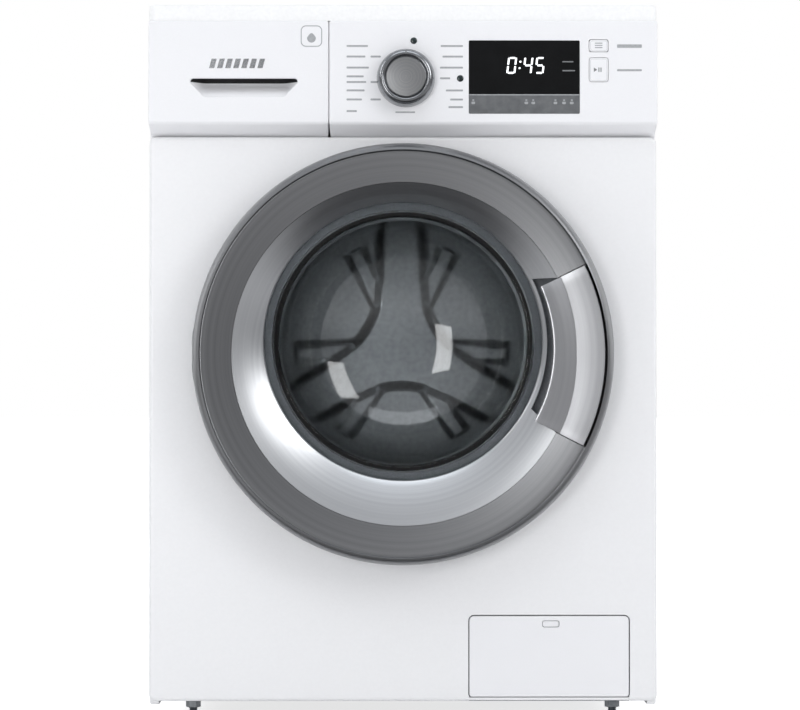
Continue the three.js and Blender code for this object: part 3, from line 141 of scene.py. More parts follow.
def finish(name, low, high, rough, grain, relief=0.1, stretch=(1, 1, 1), **shader):
    """A finish whose colour, gloss and height drift together over a grain of that many mm.

    low and high are its two tones, rough its roughness at each, relief its height in mm.
    """
    made = bpy.data.materials.new(name)
    made.use_nodes = True
    tree = made.node_tree
    surface = tree.nodes["Principled BSDF"]
    place = add(tree, "TexCoord").outputs["Object"]
    spread = add(tree, "Mapping", {"Vector": place, "Scale": stretch}).outputs["Vector"]
    cells = add(tree, "TexNoise", {"Vector": spread, "Scale": 1 / (grain * MM), "Detail": 3.0})
    height = cells.outputs["Fac"]
    tone = add(tree, "ValToRGB", {"Fac": height})
    tone.color_ramp.elements[0].position = 0.3
    tone.color_ramp.elements[0].color = linear(low)
    tone.color_ramp.elements[1].position = 0.7
    tone.color_ramp.elements[1].color = linear(high)
    gloss = add(tree, "MapRange", {"Value": height, "To Min": rough[0], "To Max": rough[1]})
    bump = add(tree, "Bump", {"Height": height, "Strength": 0.4, "Distance": relief * MM})
    tree.links.new(tone.outputs["Color"], surface.inputs["Base Color"])
    tree.links.new(gloss.outputs["Result"], surface.inputs["Roughness"])
    tree.links.new(bump.outputs["Normal"], surface.inputs["Normal"])
    for socket, value in shader.items():
        surface.inputs[socket.replace("_", " ")].default_value = value
    return made


def turned_finish(name, low, high, rough, pitch, centre, relief=0.01, **shader):
    """A finish with fine rings about an axis along Y through centre, pitch mm apart."""
    made = finish(name, low, high, rough, pitch, relief, **shader)
    tree = made.node_tree
    place = add(tree, "TexCoord").outputs["Object"]
    offset = (-centre[0] * MM, 0.0, -centre[1] * MM)
    moved = add(tree, "VectorMath", {0: place, 1: offset}, operation="ADD").outputs["Vector"]
    flat = add(tree, "VectorMath", {0: moved, 1: (1, 0, 1)}, operation="MULTIPLY")
    radius = add(tree, "VectorMath", {0: flat.outputs["Vector"]}, operation="LENGTH")
    rings = add(tree, "CombineXYZ", {"X": radius.outputs["Value"]})
    mapping = next(node for node in tree.nodes if node.type == "MAPPING")
    tree.links.new(rings.outputs["Vector"], mapping.inputs["Vector"])
    return made


# Stoved enamel on pressed steel: even white with a broad soft sheen and faint orange peel.
enamel = finish("stoved_white_enamel", "#ebebec", "#ededee", (0.27, 0.3), 4, 0.003,
                Coat_Weight=0.25, Coat_Roughness=0.12)
# Moulded ABS: white with a fine spark-eroded grain, drawn at 1.5 mm so that it shows.
abs_white = finish("moulded_white_abs", "#eaeaec", "#ececee", (0.32, 0.36), 1.5, 0.004)
# Melamine-faced board: bright white with a slight satin drift.
melamine = finish("melamine_board", "#f0f0f0", "#f5f5f5", (0.32, 0.42), 4, 0.015)
# Galvanised sheet: grey with spangle crystals about 9 mm across.
galvanised = finish("galvanised_sheet", "#8f9498", "#b4b8bb", (0.38, 0.55), 9, 0.01, Metallic=0.9)
# Nitrile rubber: near black, matt, with a moulded grain.
nitrile = finish("moulded_nitrile_rubber", "#161617", "#232324", (0.7, 0.85), 2, 0.05)
# EPDM door seal: soft mid grey with a dusty bloom.
seal_rubber = finish("epdm_door_seal", "#5a5d60", "#6b6e71", (0.5, 0.65), 5, 0.05)
# Smoked acrylic: deep black with a wet coat that mirrors the room faintly.
acrylic = finish("smoked_acrylic", "#060708", "#0c0d0e", (0.1, 0.16), 30, 0.002,
                 Coat_Weight=0.1, Coat_Roughness=0.05, Specular_IOR_Level=0.3)
# Screen-printed strip under the window: mid grey with a soft sheen.
strip_ink = finish("grey_screen_print", "#5b5d5f", "#696b6d", (0.35, 0.45), 8, 0.004)
# Spun aluminium: fine turned rings, drawn 0.8 mm apart so that they show.
spun = turned_finish("spun_aluminium", "#8c8d8f", "#a9aaab", (0.26, 0.36), 0.8, KNOB,
                     Metallic=1.0, Anisotropic=0.6)
# Satin nickel plate on ABS: bright soft grey with a slight drift.
nickel = turned_finish("satin_nickel_plate", "#a3a5a8", "#b5b7b9", (0.2, 0.3), 5, (0.0, DOOR_Z),
                       Metallic=1.0)
# Satin nickel on the knob, with its rings about the knob's own axis.
nickel_knob = turned_finish("satin_nickel_knob", "#8b8d90", "#9b9da0", (0.16, 0.26), 2, KNOB,
                            Metallic=1.0)
# Metallised funnel: light silver with a soft brushed drift round the door.
funnel_silver = turned_finish("metallised_silver_funnel", "#c3c5c8", "#cfd1d3", (0.27, 0.35), 3,
                              (0.0, DOOR_Z), Metallic=1.0)
# Metallised gunmetal ring: dark satin grey with faint rings.
gunmetal = turned_finish("metallised_gunmetal", "#88898b", "#929395", (0.28, 0.36), 4,
                         (0.0, DOOR_Z), Metallic=1.0)
# Satin metallised handle: one tone lighter than the ring.
handle_satin = turned_finish("satin_metallised_handle", "#babbbe", "#c3c4c6", (0.3, 0.38), 4,
                             (0.0, DOOR_Z), Metallic=1.0)
# Mid grey moulded polypropylene: matt with a light grain.
grey_pp = finish("moulded_grey_polypropylene", "#76797e", "#84878c", (0.45, 0.6), 3, 0.03)
# Glass-filled nylon: black, dull, speckled by its fibres.
nylon = finish("glass_filled_nylon", "#141415", "#232325", (0.5, 0.7), 1.5, 0.03)
# Bright annealed stainless: a clean mirror-soft metal with rolled lines.
stainless = finish("bright_stainless_sheet", "#b4b6b8", "#c6c8ca", (0.26, 0.38), 7, 0.006,
                   stretch=(1, 0.2, 1), Metallic=1.0)
# Oiled spring wire: dark steel with a drawn finish.
spring_steel = finish("oiled_spring_wire", "#44474a", "#5c5f62", (0.3, 0.5), 3, 0.01, Metallic=1.0)
# Gravity-cast aluminium: light grey with a sandy skin.
cast = finish("cast_aluminium", "#8d8f91", "#a9abac", (0.45, 0.65), 3, 0.12, Metallic=0.9)
# Filled polypropylene tub: warm off-white with flow marks.
tub_pp = finish("filled_polypropylene", "#bdbcb4", "#cdccc5", (0.45, 0.6), 20, 0.03)
# Cast concrete weight: grey, coarse and pitted.
concrete = finish("cast_concrete", "#7d7972", "#a09c93", (0.8, 0.95), 6, 0.5)
# Printed legend ink: mid grey, flat.
ink = finish("legend_ink", "#9a9c9e", "#a8aaac", (0.5, 0.6), 2, 0.002)
# Pale outline ink: hardly darker than the panel it is printed on.
faint_ink = finish("pale_outline_ink", "#c3c5c7", "#cdcfd1", (0.5, 0.6), 2, 0.002)
# Darker legend ink for the icons.
dark_ink = finish("dark_legend_ink", "#6e7072", "#7c7e80", (0.5, 0.6), 2, 0.002)
# Indicator lens: near black polycarbonate with a green-blue cast.
lens = finish("indicator_polycarbonate", "#0b1718", "#12282b", (0.12, 0.2), 3, 0.002,
              Coat_Weight=0.6)
# Lit display segment: cool white light behind a diffuser.
segment_light = finish("lit_segment", "#f2f6f8", "#ffffff", (0.3, 0.4), 4, 0.001,
                       Emission_Color=linear("#f4f8fa"), Emission_Strength=0.9)
# Clear soda-lime glass, pressed: smooth, faintly grey, with slow ripples.
glass = finish("pressed_clear_glass", "#dfe3e4", "#e8ebec", (0.0, 0.02), 60, 0.004,
               Transmission_Weight=1.0, IOR=1.5)
# Blank rating plate: silver polyester film.
label_film = finish("silver_polyester_label", "#b9bbbd", "#c6c8ca", (0.35, 0.45), 12, 0.002,
                    Metallic=0.4)
# Painted shade for holes punched in the drum, seen as dark wells with a bright lip: a near-black
# finish on the closed bottom of each dimple and on the slot behind the drawer pull.
painted_gap_shade = finish("punched_hole_shadow", "#0d0d0e", "#19191a", (0.5, 0.7), 2, 0.01)

BY_SLOT = {
    "white_enamel": enamel,
    "white_plastic": abs_white,
    "zinc_steel": galvanised,
    "white_laminate": melamine,
    "black_rubber": nitrile,
    "grey_rubber": seal_rubber,
    "black_window": acrylic,
    "spun_metal": spun,
    "grey_plastic": grey_pp,
    "black_plastic": nylon,
    "gunmetal": gunmetal,
    "silver_plating": nickel,
    "handle_grey": handle_satin,
    "clear_glass": glass,
    "stainless": stainless,
    "spring_steel": spring_steel,
    "cast_aluminium": cast,
    "tub_polymer": tub_pp,
    "concrete": concrete,
}


def dress_cad_nodes():
    """Gives every CAD node the real finish of its slot."""
    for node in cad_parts.values():
        slot = node.data.materials[0].name.split(".")[0]
        node.data.materials.clear()
        node.data.materials.append(BY_SLOT[slot])


# ---------------------------------------------------------------- shapes


def circle(cu, cv, radius, steps):
    """A circle of points, anticlockwise."""
    turns = [2 * math.pi * k / steps for k in range(steps)]
    return [(cu + radius * math.cos(a), cv + radius * math.sin(a)) for a in turns]


def rounded(u0, v0, u1, v1, radius, steps=6):
    """A rectangle with round corners, anticlockwise."""
    corners = ((u1 - radius, v0 + radius, -90), (u1 - radius, v1 - radius, 0),
               (u0 + radius, v1 - radius, 90), (u0 + radius, v0 + radius, 180))
    points = []
    for cu, cv, start in corners:
        for k in range(steps + 1):
            a = math.radians(start + 90 * k / steps)
            points.append((cu + radius * math.cos(a), cv + radius * math.sin(a)))
    return points


def inset(points, gap):
    """The outline moved inwards by gap, or outwards where gap is negative."""
    moved = []
    count = len(points)
    for k in range(count):
        before = Vector(points[k]) - Vector(points[k - 1])
        after = Vector(points[(k + 1) % count]) - Vector(points[k])
        n0 = Vector((-before.y, before.x)).normalized()
        n1 = Vector((-after.y, after.x)).normalized()
        middle = n0 + n1
        length = max(middle.length_squared / 2, 0.5)
        step = middle * (gap / length)
        moved.append((points[k][0] + step.x, points[k][1] + step.y))
    return moved


def on_front(y):
    """Places (u, v, depth) on a plane facing the front, at y."""
    return lambda u, v, w: Vector((u, y + w, v)) * MM


def on_back(y):
    """Places (u, v, depth) on a plane facing the rear, at y."""
    return lambda u, v, w: Vector((u, y - w, v)) * MM


def on_side(x):
    """Places (u, v, depth) on a side plane, at x."""
    inward = -1 if x > 0 else 1
    return lambda u, v, w: Vector((x + inward * w, u, v)) * MM


def on_top(z):
    """Places (u, v, depth) on a plane facing up, at z."""
    return lambda u, v, w: Vector((u, v, z - w)) * MM


def piece(name, bm, material, body, replaced=(), sharp=38, bevel=0.0):
    """Turns a bmesh into a finished piece that rides on its CAD body."""
    bmesh.ops.remove_doubles(bm, verts=bm.verts, dist=1e-6)
    bmesh.ops.recalc_face_normals(bm, faces=bm.faces)
    mesh = bpy.data.meshes.new(name)
    bm.to_mesh(mesh)
    bm.free()
    mesh.shade_smooth()
    mesh.set_sharp_from_angle(angle=math.radians(sharp))
    made = bpy.data.objects.new(name, mesh)
    bpy.context.scene.collection.objects.link(made)
    mesh.materials.append(material)
    if bevel:
        edge = made.modifiers.new("edge", "BEVEL")
        edge.width = bevel * MM
        edge.segments = 2
        edge.limit_method = "ANGLE"
        edge.angle_limit = math.radians(sharp)
    even = made.modifiers.new("even_shading", "WEIGHTED_NORMAL")
    even.keep_sharp = True
    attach(made, body)
    if replaced:
        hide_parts(*replaced)
    return made


def bridge(bm, first, second):
    """Joins two rings of vertices with quads."""
    count = len(first)
    for k in range(count):
        n = (k + 1) % count
        bm.faces.new((first[k], first[n], second[n], second[k]))


def ring_edges(bm, ring):
    """The edges round a ring of vertices, made where they are missing."""
    edges = []
    for k in range(len(ring)):
        pair = (ring[k - 1], ring[k])
        edges.append(bm.edges.get(pair) or bm.edges.new(pair))
    return edges


def pressed_mesh(loops, place, wall, dishes=(), bm=None):
    """A closed pressed or moulded sheet.

    loops are its outline and then its holes, each as (points, roll radius, depth).
    dishes are recesses pressed into it, each as (points, run, drop).
    """
    bm = bm or bmesh.new()
    fronts = []
    backs = []
    for index, (points, roll, depth) in enumerate(loops):
        side = 1 if index == 0 else -1
        steps = []
        for k in range(5):
            a = math.radians(90 * k / 4)
            steps.append((roll * (1 - math.sin(a)), roll * (1 - math.cos(a))))
        if depth > roll:
            steps.append((0, depth))
        if depth > wall + 0.01:
            steps += [(wall, depth), (wall, wall)]
        rings = []
        for gap, w in steps:
            rings.append([bm.verts.new(place(u, v, w)) for u, v in inset(points, side * gap)])
        for first, second in zip(rings, rings[1:]):
            bridge(bm, first, second)
        fronts += ring_edges(bm, rings[0])
        backs += ring_edges(bm, rings[-1])
    for points, run, drop in dishes:
        rings = []
        for k in range(6):
            s = k / 5
            fall = drop * (3 * s * s - 2 * s ** 3)
            rings.append([bm.verts.new(place(u, v, fall)) for u, v in inset(points, run * s)])
        for first, second in zip(rings, rings[1:]):
            bridge(bm, first, second)
        fronts += ring_edges(bm, rings[0])
        bm.faces.new(rings[-1])
    bmesh.ops.triangle_fill(bm, use_beauty=True, edges=fronts)
    bmesh.ops.triangle_fill(bm, use_beauty=True, edges=backs)
    return bm


def skin(rings, close=False, caps=True):
    """A bmesh through rings of points, each ring closed on itself."""
    bm = bmesh.new()
    made = [[bm.verts.new(Vector(p) * MM) for p in ring] for ring in rings]
    for first, second in zip(made, made[1:]):
        bridge(bm, first, second)
    if close:
        bridge(bm, made[-1], made[0])
    elif caps:
        bm.faces.new(made[0])
        bm.faces.new(made[-1])
    return bm


def turned_y(profile, cx, cz, steps=96):
    """A closed profile of (radius, y) turned about an axis along Y."""
    rings = [[(u, y, v) for u, v in circle(cx, cz, r, steps)] for r, y in profile]
    return skin(rings, close=True)


def turned_z(profile, cx, cy, steps=48):
    """A closed profile of (radius, z) turned about an axis along Z."""
    rings = [[(u, v, z) for u, v in circle(cx, cy, r, steps)] for r, z in profile]
    return skin(rings, close=True)


def solid_y(profile, cx, cz, steps=64):
    """An open profile of (radius, y) turned about an axis along Y, with flat ends."""
    rings = [[(u, y, v) for u, v in circle(cx, cz, r, steps)] for r, y in profile]
    return skin(rings)


def marks(name, shapes, place, thickness, material, body):
    """Thin printed or inlaid shapes, each a closed outline of (u, v)."""
    bm = bmesh.new()
    for points in shapes:
        front = [bm.verts.new(place(u, v, -thickness)) for u, v in points]
        back = [bm.verts.new(place(u, v, 0.02)) for u, v in points]
        bridge(bm, front, back)
        bm.faces.new(front)
        bm.faces.new(back)
    return piece(name, bm, material, body, sharp=20)


def ring_marks(outer, inner):
    """An outline stroke as four sided pieces between two loops of the same count."""
    count = len(outer)
    return [(outer[k], outer[(k + 1) % count], inner[(k + 1) % count], inner[k])
            for k in range(count)]


# ---------------------------------------------------------------- cabinet


def cabinet():
    """Worktop, panels, feet and the rear of the machine."""
    low, high = corners("worktop")
    top = pressed_mesh([(rounded(low[0], low[1], high[0], high[1], 9), 3.0, 19.0)],
                       on_top(WORKTOP_TOP), 19.0)
    piece("worktop_board", top, melamine, "root", ["worktop"])
    for side, x in (("left", -HALF_WIDTH), ("right", HALF_WIDTH)):
        low, high = corners(f"side_panel_{side}")
        outline = rounded(low[1], low[2], high[1], high[2], 3)
        relief = rounded(-190, 110, 232, 760, 26)
        bm = pressed_mesh([(outline, 2.5, 11.0)], on_side(x), SHEET, [(relief, 14, 1.1)])
        piece(f"side_{side}_sheet", bm, enamel, "root", [f"side_panel_{side}"])
    front_sheet()
    rear_sheet()
    for corner, body in (("front_left", "front_foot_left"), ("front_right", "front_foot_right"),
                         ("rear_left", "root"), ("rear_right", "root")):
        low, high = corners(f"foot_{corner}")
        foot(corner, middle(low[0], high[0]), middle(low[1], high[1]), body)


def front_sheet():
    """The pressed front with its door, hook and flap openings."""
    outline = rounded(-HALF_WIDTH, FOOT_HEIGHT, HALF_WIDTH, PANEL_TOP, 7, 8)
    bowed = []
    for u, v in outline:
        lift = 6.0 * (abs(u) / HALF_WIDTH) ** 6 if v < 60 else 0.0
        bowed.append((u, v + lift * (60 - v) / 30 if v < 60 else v))
    loops = [
        (bowed, 4.5, 12.0),
        (circle(0, AXIS_Z, 172, 128), 0.6, SHEET),
        (rounded(187.1, 430.5, 208.4, 451.5, 2), 0.4, SHEET),
        (rounded(FLAP[0] - 1.2, FLAP[1] - 1.2, FLAP[2] + 1.2, FLAP[3] + 1.2, 6.7), 0.5, SHEET),
    ]
    bm = pressed_mesh(loops, on_front(FRONT_Y), SHEET)
    piece("front_pressed_sheet", bm, enamel, "root", ["front_panel"])


def rear_sheet():
    """The ribbed back, its cover, screws, transit caps and blank rating plate."""
    outline = rounded(-HALF_WIDTH, FOOT_HEIGHT, HALF_WIDTH, CABINET_TOP, 3)
    ribs = [(rounded(-262, z, 262, z + 26, 12), 7, 1.0) for z in (640, 46)]
    ribs += [(rounded(x, 110, x + 60, 620, 16), 8, 1.0) for x in (-256, 196)]
    holes = [(circle(0, AXIS_Z - 20, 150, 64), 0.5, SHEET),
             (circle(240, 790, 13, 24), 0.4, SHEET), (circle(240, 700, 14, 24), 0.4, SHEET)]
    bm = pressed_mesh([(outline, 0.5, SHEET)] + holes, on_back(REAR_Y), SHEET, ribs)
    piece("rear_ribbed_sheet", bm, galvanised, "root", ["rear_panel"])
    cover = rounded(*face("rear_service_cover"), 40, 10)
    cover_y = corners("rear_service_cover")[1][1]
    raised = rounded(-120, 150, 120, 570, 60, 10)
    bm = pressed_mesh([(cover, 3.0, 9.5)], on_back(cover_y), SHEET, [(raised, 20, 3.0)])
    piece("service_cover_sheet", bm, galvanised, "root", ["rear_service_cover"])
    spots = [(x, z) for x in (-150, 150) for z in (120, 360, 600)]
    screws("service_cover_screws", spots, 295.4)
    edge = [(x, z) for x in (-285, 285) for z in (60, 300, 540, 780)]
    screws("rear_panel_screws", edge + [(-140, 815), (140, 815)], REAR_Y)
    for index, (x, z) in enumerate(((-205, 585), (205, 585), (-205, 150), (205, 150))):
        profile = [(15, REAR_Y), (15, REAR_Y + 2), (11, REAR_Y + 4), (6, REAR_Y + 4),
                   (5, REAR_Y + 2.5), (0.5, REAR_Y + 2.5)]
        piece(f"transit_cap_{index + 1}", solid_y(profile, x, z, 32), grey_pp, "root")
    plate = pressed_mesh([(rounded(-80, 690, 60, 760, 3), 0.1, 0.4)], on_back(REAR_Y + 0.4), 0.4)
    piece("blank_rating_plate", plate, label_film, "root")


def screws(name, spots, y):
    """Pan head screws with a cross, heads facing the rear."""
    bm = bmesh.new()
    for x, z in spots:
        rings = []
        for r, rise in ((4.2, -0.2), (4.2, 0.6), (3.4, 1.6), (2.2, 2.1)):
            rings.append([bm.verts.new(Vector((u, y + rise, v)) * MM)
                          for u, v in circle(x, z, r, 16)])
        for first, second in zip(rings, rings[1:]):
            bridge(bm, first, second)
        bm.faces.new(rings[0])
        hub = [bm.verts.new(Vector((u, y + (2.1 if k % 4 < 2 else 1.2), v)) * MM)
               for k, (u, v) in enumerate(circle(x, z, 1.5, 16))]
        bridge(bm, rings[-1], hub)
        bm.faces.new(hub)
    piece(name, bm, galvanised, "root", sharp=30)


def foot(corner, x, y, body):
    """A ribbed rubber pad on a threaded stem with its lock nut."""
    pad = [(0.5, 0), (17.5, 0), (19, 1), (20, 3), (20, 5), (19, 5.6), (20, 6.2), (20, 8),
           (17, 10), (11, 11.5), (11, 13), (0.5, 13)]
    piece(f"foot_{corner}_pad", turned_z(pad, x, y), nitrile, body, [f"foot_{corner}"])
    thread = [(0.5, 12.5)]
    level = 13.0
    while level < 45.0:
        thread += [(4.2, level), (5.0, level + 0.6)]
        level += 1.25
    thread += [(4.4, 45.6), (0.5, 46)]
    piece(f"foot_{corner}_stem", turned_z(thread, x, y, 24), galvanised, body, sharp=80)
    nut = [[(x + 9 * math.cos(math.radians(a)), y + 9 * math.sin(math.radians(a)), z)
            for a in range(0, 360, 60)] for z in (21.0, 29.0)]
    piece(f"foot_{corner}_nut", skin(nut), galvanised, body, bevel=0.6)


# ---------------------------------------------------------------- control panel

WINDOW_SPLIT = 744.0
PULL_TOP = 763.0
PULL_BOTTOM = 742.0
PULL_SHADE_ROW = 11


def fold_under(made):
    """Slants the bottom return of a front moulding back to the panel below."""
    for vertex in made.data.vertices:
        depth = vertex.co.y / MM - FASCIA_Y
        near = min(max((FASCIA_FOLD + 2.5 - vertex.co.z / MM) / 2, 0), 1)
        drop = min(depth, FRONT_Y - FASCIA_Y) * near
        vertex.co.z -= drop * MM
    for vertex in made.data.vertices:
        vertex.co.z = max(vertex.co.z, FASCIA_BOTTOM * MM)


def control_panel():
    """The fascia, drawer front, knob, window, keys and printing."""
    outline = rounded(FASCIA_LEFT, FASCIA_FOLD, HALF_WIDTH, CABINET_TOP, 2.5)
    loops = [
        (outline, 2.2, 25.7),
        (rounded(*WINDOW, 1.5), 0.3, 2.5),
        (rounded(217.0, 758.8, 240.0, 787.8, 3.5), 0.3, 2.5),
        (rounded(217.0, 793.9, 240.0, 808.9, 2.5), 0.3, 2.5),
    ]
    bm = pressed_mesh(loops, on_front(FASCIA_Y), 2.5)
    fold_under(piece("fascia_moulding", bm, abs_white, "root", ["control_fascia"]))
    drawer_front()
    knob()
    window()
    keys()
    legends()


def drawer_front():
    """The dispenser drawer's front with a scooped finger pull."""
    outline = rounded(-HALF_WIDTH, FASCIA_FOLD, DRAWER_RIGHT, CABINET_TOP, 2.5)
    pull = pull_outline(0)
    bm = pressed_mesh([(outline, 2.2, 25.4), (pull, 1.6, 3.0)], on_front(FASCIA_Y), 3.0)
    made = piece("drawer_front_moulding", bm, abs_white, "drawer", ["drawer_front"])
    fold_under(made)
    scoop()


def pull_outline(grow):
    """The opening of the finger pull: wider at the top, with soft corners."""
    left, right = -248.85, -122.85
    points = []
    corners = ((right - 20, PULL_BOTTOM + 9, 9, -90, 60),
               (right - 4, PULL_TOP - 3.5, 3.5, -30, 120),
               (left + 4, PULL_TOP - 3.5, 3.5, 90, 120),
               (left + 20, PULL_BOTTOM + 9, 9, 210, 60))
    for cu, cv, radius, start, sweep in corners:
        for k in range(7):
            a = math.radians(start + sweep * k / 6)
            reach = radius + grow
            points.append((cu + reach * math.cos(a), cv + reach * math.sin(a)))
    return points


def scoop():
    """The hollow behind the pull: shallow at its lower edge and deep under its top edge."""
    columns = 40
    rows = 16
    bm = bmesh.new()
    grids = []
    for back in (0.0, 1.5):
        grid = []
        for r in range(rows + 1):
            v = r / rows
            z = PULL_BOTTOM - 2 + (PULL_TOP + 7 - PULL_BOTTOM) * v
            line = []
            for c in range(columns + 1):
                u = c / columns
                x = -251.5 + 131.5 * u
                end = min(u, 1 - u) / 0.16
                end = min(end, 1)
                side = end * end * (3 - 2 * end)
                rise = min(v / 0.72, 1)
                depth = 15.0 * side * rise * rise * (3 - 2 * rise)
                line.append(bm.verts.new(Vector((x, FASCIA_Y + 2.9 + depth + back, z)) * MM))
            grid.append(line)
        grids.append(grid)
        for r in range(rows):
            for c in range(columns):
                low, high = grid[r], grid[r + 1]
                face = bm.faces.new((low[c], low[c + 1], high[c + 1], high[c]))
                # Painted shade: the faces of the slot behind the lip are painted near black, for
                # the dark inside of the drawer.
                face.material_index = int(r >= PULL_SHADE_ROW)
    front, rear = grids
    rims = []
    for grid in (front, rear):
        rims.append(grid[0] + [line[-1] for line in grid[1:]] + grid[-1][-2::-1]
                    + [line[0] for line in grid[-2:0:-1]])
    bridge(bm, rims[0], rims[1])
    made = piece("drawer_pull_scoop", bm, abs_white, "drawer", sharp=60)
    made.data.materials.append(painted_gap_shade)


def knob():
    """A plated knob with a chamfer ring round a spun disc and a small index line."""
    cx, cz = KNOB
    skirt = [(6, -262), (6, -256), (8, -256), (8, -268.6), (32.6, -268.6), (34, -270),
             (34, -271.5), (33.2, -278), (32.2, -283), (30.5, -285.6), (28.2, -286.9),
             (26.4, -287), (25.2, -286.2), (24.2, -284.2), (23.2, -283.4), (10, -283.3)]
    piece("knob_skirt", turned_y(skirt, cx, cz, 128), nickel_knob, "knob", ["programme_knob"],
          sharp=50)
    disc = [(22.9, -283.0), (22.9, -284.6), (22.4, -285.1), (16, -285.5), (8, -285.7),
            (0.5, -285.8)]
    piece("knob_disc", solid_y(disc, cx, cz, 96), spun, "knob")
    index = [rounded(cx - 0.8, cz + 26.6, cx + 0.8, cz + 30.2, 0.7, 3)]
    marks("knob_index", index, on_front(-286.2), 0.8, dark_ink, "knob")


def window():
    """The smoked window, its lit digits, and the grey strip with its small icons."""
    x0, z0, x1, z1 = WINDOW
    bm = pressed_mesh([(rounded(x0 + 0.2, WINDOW_SPLIT + 0.5, x1 - 0.2, z1 - 0.2, 1.2), 0.3, 1.8)],
                      on_front(FASCIA_Y), 1.8)
    piece("display_acrylic", bm, acrylic, "root", ["display_window"])
    bm = pressed_mesh([(rounded(x0 + 0.2, z0 + 0.2, x1 - 0.2, WINDOW_SPLIT - 0.5, 1.2), 0.3, 1.8)],
                      on_front(FASCIA_Y), 1.8)
    piece("display_strip", bm, strip_ink, "root")
    divider = rounded(x0 + 0.3, WINDOW_SPLIT - 0.6, x1 - 0.3, WINDOW_SPLIT + 0.6, 0.5)
    marks("display_divider", [divider], on_front(FASCIA_Y + 0.1), 0.1, ink, "root")
    digits()
    icons = []
    for x in (82, 144, 152, 178, 188, 197):
        icons.append(rounded(x - 2.2, 733, x + 2.2, 736, 1.2, 3))
        icons.append(rounded(x - 1.2, 737, x + 1.2, 738.6, 0.6, 3))
    marks("strip_icons", icons, on_front(FASCIA_Y), 0.08, ink, "root")
    faint = [rounded(186, 782, 199, 783.4, 0.6, 3), rounded(186, 771.5, 201, 773, 0.6, 3)]
    marks("window_faint_marks", faint, on_front(FASCIA_Y), 0.06, dark_ink, "root")


SEGMENTS = {"0": "abcdef", "4": "bcfg", "5": "acdfg"}


def digits():
    """A time in slanted seven segment figures."""
    high = 19.5
    wide = 10.5
    stroke = 2.1
    half = high / 2
    bars = {
        "a": (stroke, high - stroke, wide - stroke, high),
        "g": (stroke, half - 1, wide - stroke, half + 1),
        "d": (stroke, 0, wide - stroke, stroke),
        "f": (0, half + 0.8, stroke, high - 0.8),
        "b": (wide - stroke, half + 0.8, wide, high - 0.8),
        "e": (0, 0.8, stroke, half - 0.8),
        "c": (wide - stroke, 0.8, wide, half - 0.8),
    }
    shapes = []
    base = 768.6
    for figure, start in (("0", 120.5), ("4", 139.5), ("5", 153.5)):
        for key in SEGMENTS[figure]:
            box = bars[key]
            shapes.append([(start + u + 0.12 * v, base + v) for u, v in rounded(*box, 0.6, 3)])
    for v in (5.5, 13):
        shapes.append([(134.2 + u + 0.12 * (v + w), base + v + w)
                       for u, w in rounded(0, 0, 2.2, 2.2, 0.8, 3)])
    marks("display_digits", shapes, on_front(FASCIA_Y), 0.08, segment_light, "root")


def keys():
    """The two keys, outlined in print, with their icons."""
    for name, box, body, node in (("start_key", START_KEY, "start_key", "start_button"),
                                  ("options_key", OPTIONS_KEY, "options_key", "options_button")):
        x0, z0, x1, z1 = box
        bm = pressed_mesh([(rounded(x0, z0, x1, z1, 3.0), 0.8, 6.0)], on_front(FASCIA_Y - 0.4), 6.0)
        piece(f"{name}_cap", bm, abs_white, body, [node])
        outer = rounded(x0 + 1.2, z0 + 1.2, x1 - 1.2, z1 - 1.2, 2.6)
        stroke = ring_marks(outer, inset(outer, 0.55))
        marks(f"{name}_outline", stroke, on_front(FASCIA_Y - 0.4), 0.06, faint_ink, body)
    u, v = 227.0, 773.3
    play = [[(u - 4.2, v - 2.6), (u - 0.2, v), (u - 4.2, v + 2.6)],
            rounded(u + 1.2, v - 2.6, u + 2.4, v + 2.6, 0.4, 2),
            rounded(u + 3.6, v - 2.6, u + 4.8, v + 2.6, 0.4, 2)]
    marks("start_icon", play, on_front(FASCIA_Y - 0.4), 0.08, dark_ink, "start_key")
    lines = [rounded(224, 798.6 + 2.6 * k, 233, 799.8 + 2.6 * k, 0.5, 2) for k in range(3)]
    marks("options_icon", lines, on_front(FASCIA_Y - 0.4), 0.08, ink, "options_key")


